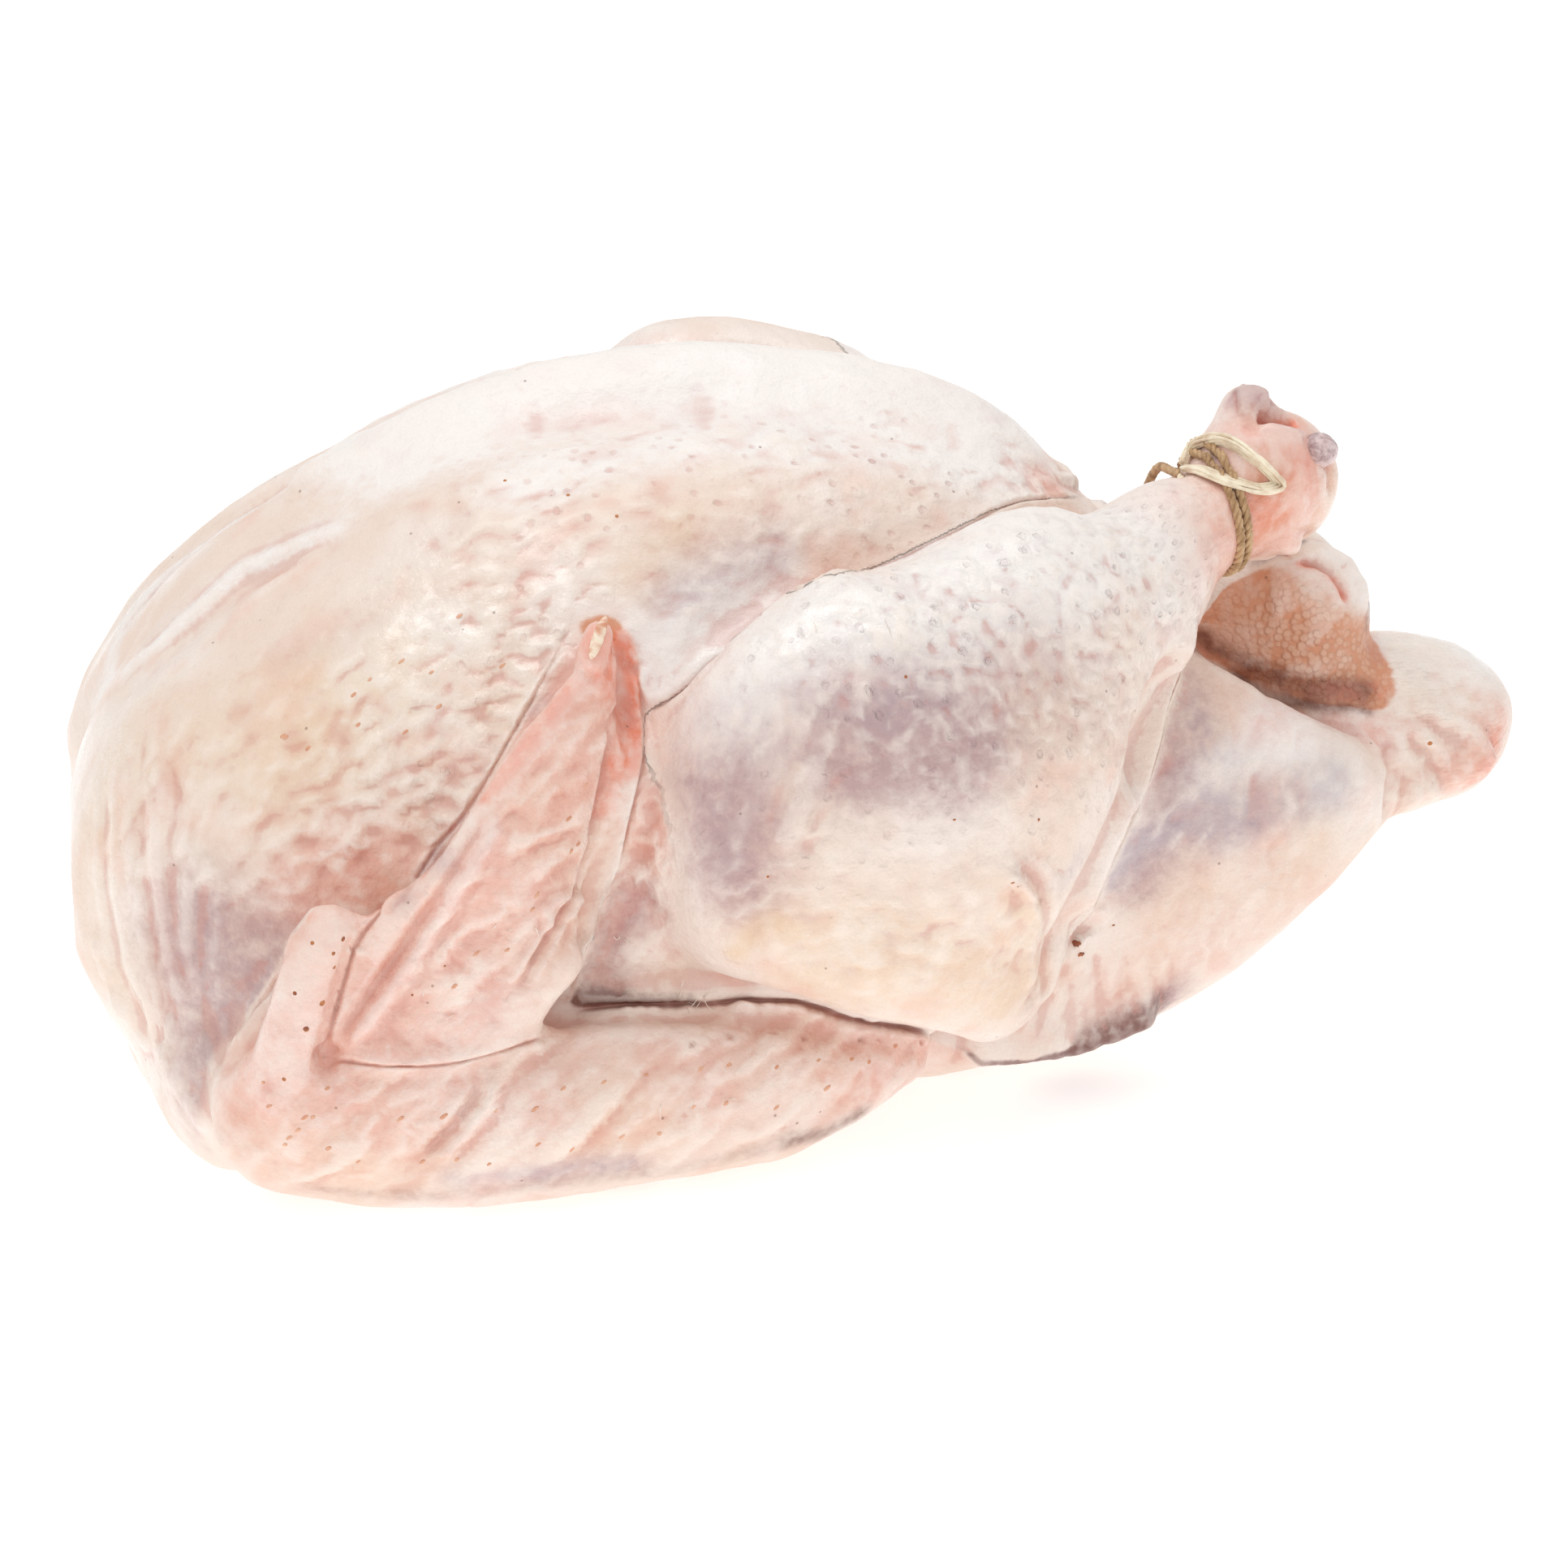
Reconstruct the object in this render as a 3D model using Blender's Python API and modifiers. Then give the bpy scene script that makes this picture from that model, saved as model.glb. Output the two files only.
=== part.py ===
"""A whole raw turkey, dressed and trussed, lying on its back with the breast up.

The bird is one solid: torso, legs, wings and tail are lofted forms that a voxel remesh fuses into one skin.
The twine that ties the two ankles is a solid of its own, laid in a groove in the skin.
+X points to the tail, +Z up; the near wing and leg are at -Y. Lofts are written in centimetres.
"""

import math

import bmesh
import bpy
from mathutils import Matrix, Vector, noise
from mathutils.bvhtree import BVHTree
from mathutils.kdtree import KDTree

CM = 0.01

# ---- driving dimensions, in centimetres ----
BREAST_TOP = 17.8  # height of the keel above the table
BACK_FLAT = 0.0  # the back and the wings are pressed flat on the table at this height
KEEL_RISE = 0.45  # how far the keel stands over the hollows beside it
KEEL_HALF_WIDTH = 1.0
HOLLOW_AT = 2.4  # distance of the hollows beside the keel from the middle plane
HOLLOW_DEPTH = 0.45
FRONT_CLEFT_DEPTH = 0.75  # cleft between the two breast lobes at the neck end
VENT_DIP = 3.6  # depth of the hollow between the skin lips in front of the tail
VENT_CENTRE = 0.2
VENT_HALF_WIDTH = 3.2
VENT_FROM, VENT_TO = 9.4, 15.2
TWINE_RADIUS = 0.11
TWINE_GAP = 0.04  # clearance between twine and skin
WELD = 0.001

SKIN_VOXEL = 0.22
SKIN_SMOOTHING = 4
SKIN_TRIANGLES = 10000
UNEVENNESS = 0.16
SWELLS_PER_METRE = 26  # the broad swells of the flesh, and the finer ones between them
RIPPLES_PER_METRE = 58
FOLD_REACH = 2.5  # a fold sinks the skin up to this many widths away
DOME = tuple((math.sin(a), math.cos(a)) for a in map(math.radians, (25, 50, 72)))  # how a limb's end rounds off
LOBE_WIDTH = 1.1
CLEFT_AT, CLEFT_LENGTH, CLEFT_HALF_WIDTH = -17.2, 3.0, 1.2
BACK_BULGE, BACK_FLATNESS = 0.7, 0.62  # powers below 1 square the lower half of a section

# ---- stations of the lofts: x, y, z of the middle, half thickness, half width ----
TORSO = (  # x, top, bottom, half width, height of the widest level
    (-18.2, 8.4, 4.0, 4.4, 6.2),
    (-17.4, 10.4, 2.4, 6.2, 6.6),
    (-15.8, 12.5, 0.8, 8.0, 7.0),
    (-13.0, 14.4, -0.2, 9.2, 7.6),
    (-9.4, 16.5, -0.3, 9.8, 8.2),
    (-5.0, BREAST_TOP, -0.3, 9.8, 8.6),
    (-1.0, BREAST_TOP, -0.3, 9.2, 8.4),
    (2.6, 17.2, -0.3, 8.4, 8.0),
    (5.2, 16.2, -0.3, 7.3, 7.4),
    (7.2, 14.4, -0.3, 6.6, 6.8),
    (9.4, 12.4, 0.6, 6.0, 6.4),
    (12.0, 11.3, 2.4, 5.4, 6.4),
    (14.2, 9.8, 4.3, 4.4, 6.8),
    (15.4, 8.8, 5.3, 3.2, 7.0),
)
TAIL = (
    (13.8, 0.0, 6.4, 3.4, 1.9),
    (14.9, 0.0, 7.0, 3.0, 2.1),
    (16.0, 0.0, 7.3, 2.9, 2.3),
    (16.9, 0.0, 7.3, 2.5, 2.1),
)
NEAR_LEG = (
    (-4.0, -8.2, 9.4, 2.0, 3.2),
    (-2.6, -8.4, 9.3, 3.2, 4.6),
    (-0.6, -8.2, 9.3, 3.8, 5.5),
    (1.8, -7.8, 9.5, 4.0, 5.9),
    (3.7, -7.0, 10.7, 3.6, 5.3),
    (5.4, -6.1, 12.1, 2.9, 3.9),
    (7.3, -4.9, 12.8, 2.2, 2.6),
    (9.0, -3.7, 13.7, 1.6, 1.7),
    (10.3, -2.8, 14.1, 1.45, 1.45),
    (11.4, -2.0, 14.5, 1.8, 2.1),
    (12.3, -1.5, 14.6, 1.6, 1.9),
)
NEAR_THIGH = (
    (-2.4, -8.2, 9.0, 2.8, 3.2),
    (0.6, -8.2, 7.2, 3.6, 3.5),
    (3.2, -7.4, 5.2, 2.8, 2.7),
)
NEAR_KNOBS = (  # joint ends that show at the cut: x, y, z, radius
    (11.4, -1.5, 16.4, 0.8),
    (13.3, -1.3, 15.1, 0.6),
    (12.9, -1.2, 13.8, 1.0),
)
FAR_LEG = (  # its shin lies lower, passes under the near one and ends in the vent
    (-5.2, 8.3, 11.0, 2.0, 3.6),
    (-3.6, 8.5, 10.8, 3.1, 5.2),
    (-1.6, 8.4, 10.6, 3.6, 6.0),
    (1.0, 8.0, 9.8, 3.8, 6.2),
    (3.8, 7.3, 8.8, 3.6, 5.0),
    (6.4, 6.1, 8.8, 3.0, 3.7),
    (8.4, 4.7, 9.3, 2.4, 2.7),
    (10.2, 3.2, 10.0, 1.9, 2.0),
    (11.6, 2.0, 10.5, 1.7, 1.7),
    (12.8, 0.8, 10.6, 2.0, 2.2),
    (13.6, 0.2, 10.3, 1.7, 1.9),
)
FAR_HOCK_LOBE = (
    (12.2, 0.3, 9.9, 1.6, 1.8),
    (13.8, -0.3, 9.3, 1.5, 1.5),
    (15.2, -0.6, 8.6, 0.7, 0.7),
)
FAR_KNOBS = ((13.7, 0.5, 11.3, 0.8),)
FOREARM = (
    (-13.2, -9.7, 3.0, 1.7, 2.3),
    (-11.2, -9.8, 2.8, 2.0, 2.6),
    (-8.2, -9.7, 2.7, 2.1, 2.6),
    (-4.6, -9.5, 2.7, 2.0, 2.5),
    (-1.8, -9.1, 2.7, 1.8, 2.2),
    (0.4, -8.7, 2.7, 1.3, 1.6),
    (2.2, -8.2, 2.6, 0.6, 0.8),
)
UPPER_ARM = (
    (-0.6, -7.8, 2.6, 1.7, 2.0),
    (-4.0, -7.8, 3.2, 2.0, 2.4),
    (-9.0, -7.6, 4.0, 2.2, 2.8),
)
HAND = (
    (-12.3, -10.6, 3.2, 1.5, 2.0),
    (-10.8, -10.8, 4.6, 1.1, 3.0),
    (-9.3, -10.8, 6.3, 0.85, 2.75),
    (-8.3, -10.7, 7.9, 0.75, 2.45),
    (-7.5, -10.3, 9.4, 0.7, 2.05),
    (-6.8, -9.9, 10.8, 0.6, 1.7),
    (-6.1, -9.5, 12.2, 0.55, 1.25),
    (-5.7, -9.2, 13.2, 0.5, 0.85),
    (-5.6, -9.0, 14.0, 0.4, 0.45),
)
SHOULDER_SKIN = (  # loose skin between the neck end and the wrist
    (-15.0, -3.6, 2.8, 2.2, 2.8),
    (-14.4, -6.8, 2.6, 2.0, 2.8),
)
ALULA = (
    (-13.3, -11.0, 4.0, 0.9, 1.1),
    (-12.9, -11.3, 5.8, 0.85, 1.0),
    (-12.2, -11.2, 7.9, 0.7, 0.8),
)

# ---- folds of the skin: width and depth, then points near the surface ----
LEG_FOLDS = (
    (
        0.5,
        0.45,
        (
            (-4.6, -9.0, 12.1), (-3.2, -8.5, 12.8), (-1.1, -7.3, 14.2),
            (0.9, -6.5, 14.8), (3.5, -5.4, 14.8), (5.8, -4.2, 14.5),
        ),
    ),
    (
        0.5,
        0.5,
        (
            (8.4, -6.4, 11.4), (7.8, -7.4, 10.2), (7.1, -8.0, 8.6),
            (6.3, -8.6, 7.0), (5.5, -8.8, 5.6), (4.9, -8.8, 4.4),
        ),
    ),
    (
        0.5,
        0.4,
        (
            (-5.0, 8.9, 12.6), (-3.2, 8.5, 13.8), (-0.6, 7.4, 15.2),
            (2.0, 6.4, 15.4), (4.6, 5.2, 14.8), (6.8, 4.6, 13.2),
        ),
    ),
)
WING_FOLDS = (
    (
        0.5,
        0.9,
        ((-6.6, -9.8, 5.2), (-3.6, -9.9, 5.1), (-0.8, -9.8, 4.8), (1.6, -9.0, 3.8), (3.4, -7.6, 2.2)),
    ),
    (
        0.3,
        0.3,
        ((-11.6, -10.6, 7.4), (-10.0, -10.2, 9.0), (-8.4, -9.9, 11.2), (-6.5, -9.2, 13.4)),
    ),
    (
        0.45,
        0.5,
        ((-4.7, -8.6, 13.2), (-4.6, -9.4, 11.4), (-5.2, -9.8, 9.0), (-6.1, -9.8, 6.6), (-6.8, -10.4, 5.4)),
    ),
    (
        0.3,
        0.5,
        ((-11.4, -11.4, 8.0), (-11.9, -11.6, 6.6), (-12.3, -11.8, 5.0)),
    ),
    (
        0.35,
        0.4,
        ((-12.8, -10.0, 8.2), (-14.0, -10.0, 5.6), (-14.6, -10.0, 4.2)),
    ),
    (
        0.35,
        0.35,
        ((-12.4, -11.9, 4.9), (-9.8, -11.7, 4.6), (-8.4, -11.5, 4.7), (-6.9, -10.9, 4.9)),
    ),
)

# ---- twine round the two ankles ----
TIE_CENTRE = (10.4, -2.6, 14.3)
TIE_AXIS = (0.95, 0.27, 0.14)
TIE_TURNS = (-0.13, 0.13)  # the two turns lie side by side
TIE_SINKS = 0.05  # height of the middle of the twine over the skin it presses in
TIE_POINTS = 36
TIE_EVENING = (-2, -1, 0, 1, 2)  # neighbours that even out a turn's distance from its middle
PATH_STEPS = 6
BOW = (
    (9.4, -3.0, 14.9),
    (10.1, -2.6, 15.3),
    (11.0, -2.8, 15.5),
    (11.7, -3.0, 15.2),
    (11.8, -3.2, 15.0),
    (11.4, -3.3, 14.9),
    (10.3, -3.2, 15.0),
)
BOW_LIFT = 0.2
KNOT = (9.5, -3.0, 15.2)
KNOT_RADIUS = 0.24
STRAND = (
    (9.5, -2.8, 15.2),
    (9.4, -0.9, 14.9),
    (9.5, 1.2, 13.5),
    (9.8, 3.2, 12.4),
    (10.2, 4.8, 11.4),
    (10.4, 5.6, 10.4),
)

MATERIALS = {
    "bird": ((0.84, 0.70, 0.63, 1.0), 0.42),
    "twine": ((0.62, 0.50, 0.34, 1.0), 0.9),
}


def clear_scene():
    for old in list(bpy.data.objects):
        bpy.data.objects.remove(old)


def new_collection(name):
    made = bpy.data.collections.new(name)
    bpy.context.scene.collection.children.link(made)
    return made


def material(name):
    colour, roughness = MATERIALS[name]
    made = bpy.data.materials.new(name + "_finish")
    made.use_nodes = True
    shader = made.node_tree.nodes["Principled BSDF"]
    shader.inputs["Base Color"].default_value = colour
    shader.inputs["Roughness"].default_value = roughness
    return made


def bump(distance, width):
    """A smooth bell of height 1, for relief that fades with distance."""
    return math.exp(-((distance / width) ** 2))


def spline(rows, steps):
    """Catmull-Rom through the rows, each some numbers, with that many steps between two of them."""
    last = len(rows) - 1
    found = []
    for i in range(last):
        before, start, end, after = (rows[max(0, min(last, i + k))] for k in (-1, 0, 1, 2))
        for step in range(steps):
            t = step / steps
            found.append(
                [
                    0.5 * (2 * b + (c - a) * t + (2 * a - 5 * b + 4 * c - d) * t**2 + (3 * b - a - 3 * c + d) * t**3)
                    for a, b, c, d in zip(before, start, end, after)
                ]
            )
    found.append(list(rows[last]))
    return found


def close_rings(mesh, rings, first_tip, last_tip):
    """Faces between rings of equal length, and a fan from each end ring to its tip."""
    loops = [[mesh.verts.new(point * CM) for point in ring] for ring in rings]
    count = len(loops[0])
    for low, high in zip(loops, loops[1:]):
        for i in range(count):
            j = (i + 1) % count
            mesh.faces.new((low[i], low[j], high[j], high[i]))
    for loop, tip in ((loops[0], first_tip), (loops[-1], last_tip)):
        end = mesh.verts.new(tip * CM)
        for i in range(count):
            mesh.faces.new((loop[i], loop[(i + 1) % count], end))


def loft(mesh, stations, steps=5, around=24, squareness=2.0):
    """A limb: an oval section carried along its stations, with a dome at each end."""
    rows = spline(stations, steps)
    middles = [Vector(row[:3]) for row in rows]
    rings = []
    for i, row in enumerate(rows):
        along = (middles[min(i + 1, len(rows) - 1)] - middles[max(i - 1, 0)]).normalized()
        side = along.cross(Vector((0, 0, 1))).normalized()
        across = side.cross(along).normalized()
        rings.append((middles[i], along, side * row[3], across * row[4]))

    power = 2.0 / squareness

    def ring(middle, side, across):
        points = []
        for k in range(around):
            angle = 2 * math.pi * k / around
            c, s = math.cos(angle), math.sin(angle)
            out, up = (math.copysign(abs(value) ** power, value) for value in (c, s))
            points.append(middle + side * out + across * up)
        return points

    shaped = []
    ends = []
    for end, direction in ((rings[0], -1), (rings[-1], 1)):
        middle, along, side, across = end
        depth = 0.5 * (side.length + across.length)
        ends.append(
            [(middle + along * direction * depth * out, side * scale, across * scale) for out, scale in DOME]
        )
        ends[-1].append(middle + along * direction * depth)
    shaped += [ring(*part) for part in reversed(ends[0][:-1])]
    shaped += [ring(middle, side, across) for middle, along, side, across in rings]
    shaped += [ring(*part) for part in ends[1][:-1]]
    close_rings(mesh, shaped, ends[0][-1], ends[1][-1])


def torso_ring(x, top, bottom, half_width, waist, around=64):
    """A section of the torso: two breast lobes beside a keel above the waist, a broad flat back below it."""
    fore = max(0.0, min(1.0, (7.5 - x) / 4.0)) * max(0.0, min(1.0, (x + 18.5) / 3.0))
    cleft = FRONT_CLEFT_DEPTH * bump(x - CLEFT_AT, CLEFT_LENGTH)
    vent = 0.0
    if VENT_FROM < x < VENT_TO:
        vent = VENT_DIP * math.sin(math.pi * (x - VENT_FROM) / (VENT_TO - VENT_FROM)) ** 0.7
    points = []
    for k in range(around):
        angle = 2 * math.pi * k / around
        s, c = math.sin(angle), math.cos(angle)
        if c > 0:
            y = half_width * math.copysign(abs(s), s)
            z = waist + (top - waist) * c
            z += fore * (KEEL_RISE * bump(y, KEEL_HALF_WIDTH) - HOLLOW_DEPTH * bump(abs(y) - HOLLOW_AT, LOBE_WIDTH))
            z -= vent * math.exp(-(((y - VENT_CENTRE) / VENT_HALF_WIDTH) ** 4))
        else:
            y = half_width * math.copysign(abs(s) ** BACK_BULGE, s)
            z = waist - (waist - bottom) * abs(c) ** BACK_FLATNESS
        points.append(Vector((x + cleft * bump(y, CLEFT_HALF_WIDTH), y, z)))
    return points


def add_torso(mesh):
    rows = spline(TORSO, 4)
    rings = [torso_ring(*row) for row in rows]
    first, last = rows[0], rows[-1]
    front = Vector((first[0] + 0.5, 0, 0.5 * (first[1] + first[2])))
    rear = Vector((last[0] + 0.8, 0, 0.5 * (last[1] + last[2])))
    close_rings(mesh, rings, front, rear)


def add_ball(mesh, x, y, z, radius, segments=20, rings=12):
    place = Matrix.Translation(Vector((x, y, z)) * CM)
    bmesh.ops.create_uvsphere(mesh, u_segments=segments, v_segments=rings, radius=radius * CM, matrix=place)


def mirrored(stations):
    return [(row[0], -row[1], *row[2:]) for row in stations]


def add_wing(mesh, sided):
    """One wing; sided gives each row of stations its place, on the near side or mirrored."""
    loft(mesh, sided(SHOULDER_SKIN))
    loft(mesh, sided(UPPER_ARM))
    loft(mesh, sided(FOREARM))
    loft(mesh, sided(HAND), squareness=2.4)
    loft(mesh, sided(ALULA))


def bird_form():
    """Every lofted form of the bird in one mesh, overlapping and each one closed."""
    mesh = bmesh.new()
    add_torso(mesh)
    loft(mesh, TAIL, squareness=2.3)
    loft(mesh, NEAR_LEG)
    loft(mesh, NEAR_THIGH)
    loft(mesh, FAR_LEG)
    loft(mesh, FAR_HOCK_LOBE)
    loft(mesh, mirrored(NEAR_THIGH))
    for knob in NEAR_KNOBS + FAR_KNOBS:
        add_ball(mesh, *knob)
    add_wing(mesh, list)
    add_wing(mesh, mirrored)
    bmesh.ops.recalc_face_normals(mesh, faces=mesh.faces)
    return mesh


def applied(obj):
    """The object's evaluated mesh as its own mesh, with the modifiers gone."""
    bpy.context.view_layer.update()
    graph = bpy.context.evaluated_depsgraph_get()
    baked = bpy.data.meshes.new_from_object(obj.evaluated_get(graph))
    obj.modifiers.clear()
    obj.data = baked


def fuse(obj):
    remesh = obj.modifiers.new("one_skin", "REMESH")
    remesh.mode = "VOXEL"
    remesh.voxel_size = SKIN_VOXEL * CM
    smooth = obj.modifiers.new("soft_flesh", "SMOOTH")
    smooth.factor = 0.5
    smooth.iterations = SKIN_SMOOTHING
    applied(obj)


def roughen(obj):
    """Slow swells of the flesh, so that no form is a perfect loft."""
    normals = [vertex.normal.copy() for vertex in obj.data.vertices]
    for vertex, normal in zip(obj.data.vertices, normals):
        swell = noise.noise(vertex.co * SWELLS_PER_METRE) + 0.5 * noise.noise(vertex.co * RIPPLES_PER_METRE)
        vertex.co += normal * swell * UNEVENNESS * CM


def press_folds(obj, folds):
    """Sinks the skin along each fold, deepest on its line."""
    tree = surface_of(obj)
    vertices = obj.data.vertices
    found = KDTree(len(vertices))
    for vertex in vertices:
        found.insert(vertex.co, vertex.index)
    found.balance()
    normals = [vertex.normal.copy() for vertex in vertices]
    sinks = {}
    for width, depth, points in folds:
        nearest = {}
        for point in spline([Vector(point) for point in points], PATH_STEPS):
            on_skin = tree.find_nearest(Vector(point) * CM)[0]
            for _, index, distance in found.find_range(on_skin, FOLD_REACH * width * CM):
                nearest[index] = min(distance, nearest.get(index, distance))
        for index, distance in nearest.items():
            sinks[index] = sinks.get(index, 0.0) + depth * bump(distance / CM, width)
    for index, depth in sinks.items():
        vertices[index].co -= normals[index] * depth * CM


def surface_of(obj):
    return BVHTree.FromPolygons([v.co for v in obj.data.vertices], [tuple(p.vertices) for p in obj.data.polygons])


def thin_out(obj, triangles):
    obj.data.calc_loop_triangles()
    modifier = obj.modifiers.new("fewer_faces", "DECIMATE")
    modifier.ratio = min(1.0, triangles / len(obj.data.loop_triangles))
    applied(obj)


def press_flat(obj, cutters):
    """Cuts the underside level, as the weight of the bird presses it on the table."""
    bpy.ops.mesh.primitive_cube_add(size=1.0)
    slab = bpy.context.object
    slab.name = "table_cut"
    slab.scale = (0.8, 0.8, 0.1)
    slab.location = (0, 0, (BACK_FLAT - 5.0) * CM)
    slab.hide_render = True
    slab.display_type = "WIRE"
    for other in list(slab.users_collection):
        other.objects.unlink(slab)
    cutters.objects.link(slab)
    cut = obj.modifiers.new("table", "BOOLEAN")
    cut.operation = "DIFFERENCE"
    cut.object = slab


def cord_along(name, path, radius, closed):
    """A round cord whose middle follows the path, as a mesh with its caps welded."""
    curve = bpy.data.curves.new(name, "CURVE")
    curve.dimensions = "3D"
    curve.bevel_depth = radius * CM
    curve.bevel_resolution = 2
    curve.use_fill_caps = True
    route = curve.splines.new("POLY")
    route.points.add(len(path) - 1)
    for spot, point in zip(route.points, path):
        spot.co = (*(point * CM), 1.0)
    route.use_cyclic_u = closed
    guide = bpy.data.objects.new(name, curve)
    bpy.context.scene.collection.objects.link(guide)
    graph = bpy.context.evaluated_depsgraph_get()
    data = bpy.data.meshes.new_from_object(guide.evaluated_get(graph))
    bpy.data.objects.remove(guide)
    return welded(name, data)


def ball_at(name, middle, radius):
    data = bpy.data.meshes.new(name)
    mesh = bmesh.new()
    add_ball(mesh, *middle, radius, 10, 6)
    mesh.to_mesh(data)
    mesh.free()
    return welded(name, data)


def welded(name, data):
    mesh = bmesh.new()
    mesh.from_mesh(data)
    bmesh.ops.remove_doubles(mesh, verts=mesh.verts, dist=WELD * CM)
    bmesh.ops.recalc_face_normals(mesh, faces=mesh.faces)
    mesh.to_mesh(data)
    mesh.free()
    return bpy.data.objects.new(name, data)


def tie_turn(tree, offset):
    """A closed turn round the near ankle: rays from its middle find the skin."""
    axis = Vector(TIE_AXIS).normalized()
    middle = Vector(TIE_CENTRE) + axis * offset
    side = axis.cross(Vector((0, 0, 1))).normalized()
    across = axis.cross(side)
    reach = []
    for k in range(TIE_POINTS):
        angle = 2 * math.pi * k / TIE_POINTS
        way = side * math.cos(angle) + across * math.sin(angle)
        hit = tree.ray_cast(middle * CM, way)
        reach.append((way, hit[3] / CM))
    path = []
    for k, (way, _) in enumerate(reach):
        even = sum(reach[(k + j) % TIE_POINTS][1] for j in TIE_EVENING) / len(TIE_EVENING)
        path.append(middle + way * (even + TIE_SINKS))
    return path


def laid(tree, points, height):
    """A path that rests on the skin where it comes near it and bridges the rest."""
    path = []
    for point in map(Vector, spline([Vector(point) for point in points], PATH_STEPS)):
        near, normal, _, distance = tree.find_nearest(point * CM)
        inside = (point * CM - near).dot(normal) < 0
        if inside or distance < height * CM:
            point = near / CM + normal * height
        path.append(point)
    return path


def make_twine(parts, cutters, bird, skin):
    """The tie as one solid, and the groove it lies in."""
    knot = skin.find_nearest(Vector(KNOT) * CM)[0] / CM
    turns = [tie_turn(skin, offset) for offset in TIE_TURNS]
    bow = laid(skin, BOW, BOW_LIFT)
    strand = laid(skin, STRAND, TIE_SINKS)
    pieces = (
        ("turn_one", cord_along, turns[0], TWINE_RADIUS, (True,)),
        ("turn_two", cord_along, turns[1], TWINE_RADIUS, (True,)),
        ("bow", cord_along, bow, TWINE_RADIUS, (False,)),
        ("strand", cord_along, strand, TWINE_RADIUS, (False,)),
        ("knot", ball_at, knot, KNOT_RADIUS, ()),
    )
    twine = None
    for name, make, where, radius, closed in pieces:
        piece = make(name, where, radius, *closed)
        groove = make(name + "_groove", where, radius + TWINE_GAP, *closed)
        as_cutter(groove, cutters)
        joined(bird, groove, "DIFFERENCE")
        if twine is None:
            twine = piece
            twine.name = "twine"
            twine.data.materials.append(material("twine"))
            parts.objects.link(twine)
        else:
            as_cutter(piece, cutters)
            joined(twine, piece, "UNION")
    return twine


def as_cutter(obj, cutters):
    obj.hide_render = True
    obj.display_type = "WIRE"
    cutters.objects.link(obj)


def joined(obj, other, operation):
    modifier = obj.modifiers.new(other.name, "BOOLEAN")
    modifier.operation = operation
    modifier.solver = "EXACT"
    modifier.object = other


def make_bird(parts, cutters):
    data = bpy.data.meshes.new("bird")
    form = bird_form()
    form.to_mesh(data)
    form.free()
    bird = bpy.data.objects.new("bird", data)
    parts.objects.link(bird)
    fuse(bird)
    roughen(bird)
    press_folds(bird, LEG_FOLDS + WING_FOLDS)
    press_folds(bird, [(width, depth, mirrored(points)) for width, depth, points in WING_FOLDS])
    thin_out(bird, SKIN_TRIANGLES)
    bird.data.materials.append(material("bird"))
    bird.data.shade_smooth()
    press_flat(bird, cutters)
    return bird


def centre(shown, parts, cutters):
    """Moves everything so that the middle of the underside of the part is at the origin."""
    bpy.context.view_layer.update()
    graph = bpy.context.evaluated_depsgraph_get()
    points = [vertex.co for obj in shown for vertex in obj.evaluated_get(graph).data.vertices]
    low, high = (Vector([pick(point[i] for point in points) for i in range(3)]) for pick in (min, max))
    move = Vector((-(low.x + high.x) / 2, -(low.y + high.y) / 2, -low.z))
    for obj in list(parts.objects) + list(cutters.objects):
        if obj.matrix_basis.is_identity:
            obj.data.transform(Matrix.Translation(move))
        else:
            obj.location += move


def main():
    clear_scene()
    parts = new_collection("whole_raw_turkey")
    cutters = new_collection("cutters")
    bird = make_bird(parts, cutters)
    twine = make_twine(parts, cutters, bird, surface_of(bird))
    centre((bird, twine), parts, cutters)


main()
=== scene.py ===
"""The finish of a whole raw turkey: its skin, the twine round its ankles, cut joints and bone ends.

Lengths are in metres unless a comment says millimetres. A mark is a place in the view's own square frame
of 1932 by 1932 pixels, and the line of sight through it finds its place on the skin.
"""

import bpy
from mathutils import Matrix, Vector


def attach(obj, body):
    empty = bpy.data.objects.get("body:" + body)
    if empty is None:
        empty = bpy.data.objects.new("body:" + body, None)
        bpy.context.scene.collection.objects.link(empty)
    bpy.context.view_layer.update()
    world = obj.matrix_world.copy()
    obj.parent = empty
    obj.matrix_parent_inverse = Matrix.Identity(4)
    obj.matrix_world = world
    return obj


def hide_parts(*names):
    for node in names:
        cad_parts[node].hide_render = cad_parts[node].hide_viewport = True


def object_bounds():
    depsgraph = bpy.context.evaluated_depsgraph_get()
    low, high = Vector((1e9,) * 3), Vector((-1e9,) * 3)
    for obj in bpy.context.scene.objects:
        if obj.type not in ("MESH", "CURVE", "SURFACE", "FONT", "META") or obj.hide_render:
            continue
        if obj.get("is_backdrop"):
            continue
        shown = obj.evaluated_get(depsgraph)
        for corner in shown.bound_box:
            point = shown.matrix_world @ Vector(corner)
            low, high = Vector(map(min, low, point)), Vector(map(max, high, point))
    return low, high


bl_info = {
    "name": "Whole raw turkey",
    "version": (1, 0, 0),
    "blender": (4, 5, 0),
    "location": "3D View > Sidebar > Turkey",
    "description": "Dresses the turkey's solids with skin, twine, joints and light",
    "category": "Object",
}

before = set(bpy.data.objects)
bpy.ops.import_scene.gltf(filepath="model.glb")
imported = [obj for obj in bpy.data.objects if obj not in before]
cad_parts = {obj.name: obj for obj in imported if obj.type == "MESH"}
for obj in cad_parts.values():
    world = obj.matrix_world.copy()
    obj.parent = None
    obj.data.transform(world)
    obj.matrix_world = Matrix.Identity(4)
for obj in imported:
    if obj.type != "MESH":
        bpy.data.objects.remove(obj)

import math
import random

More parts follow.
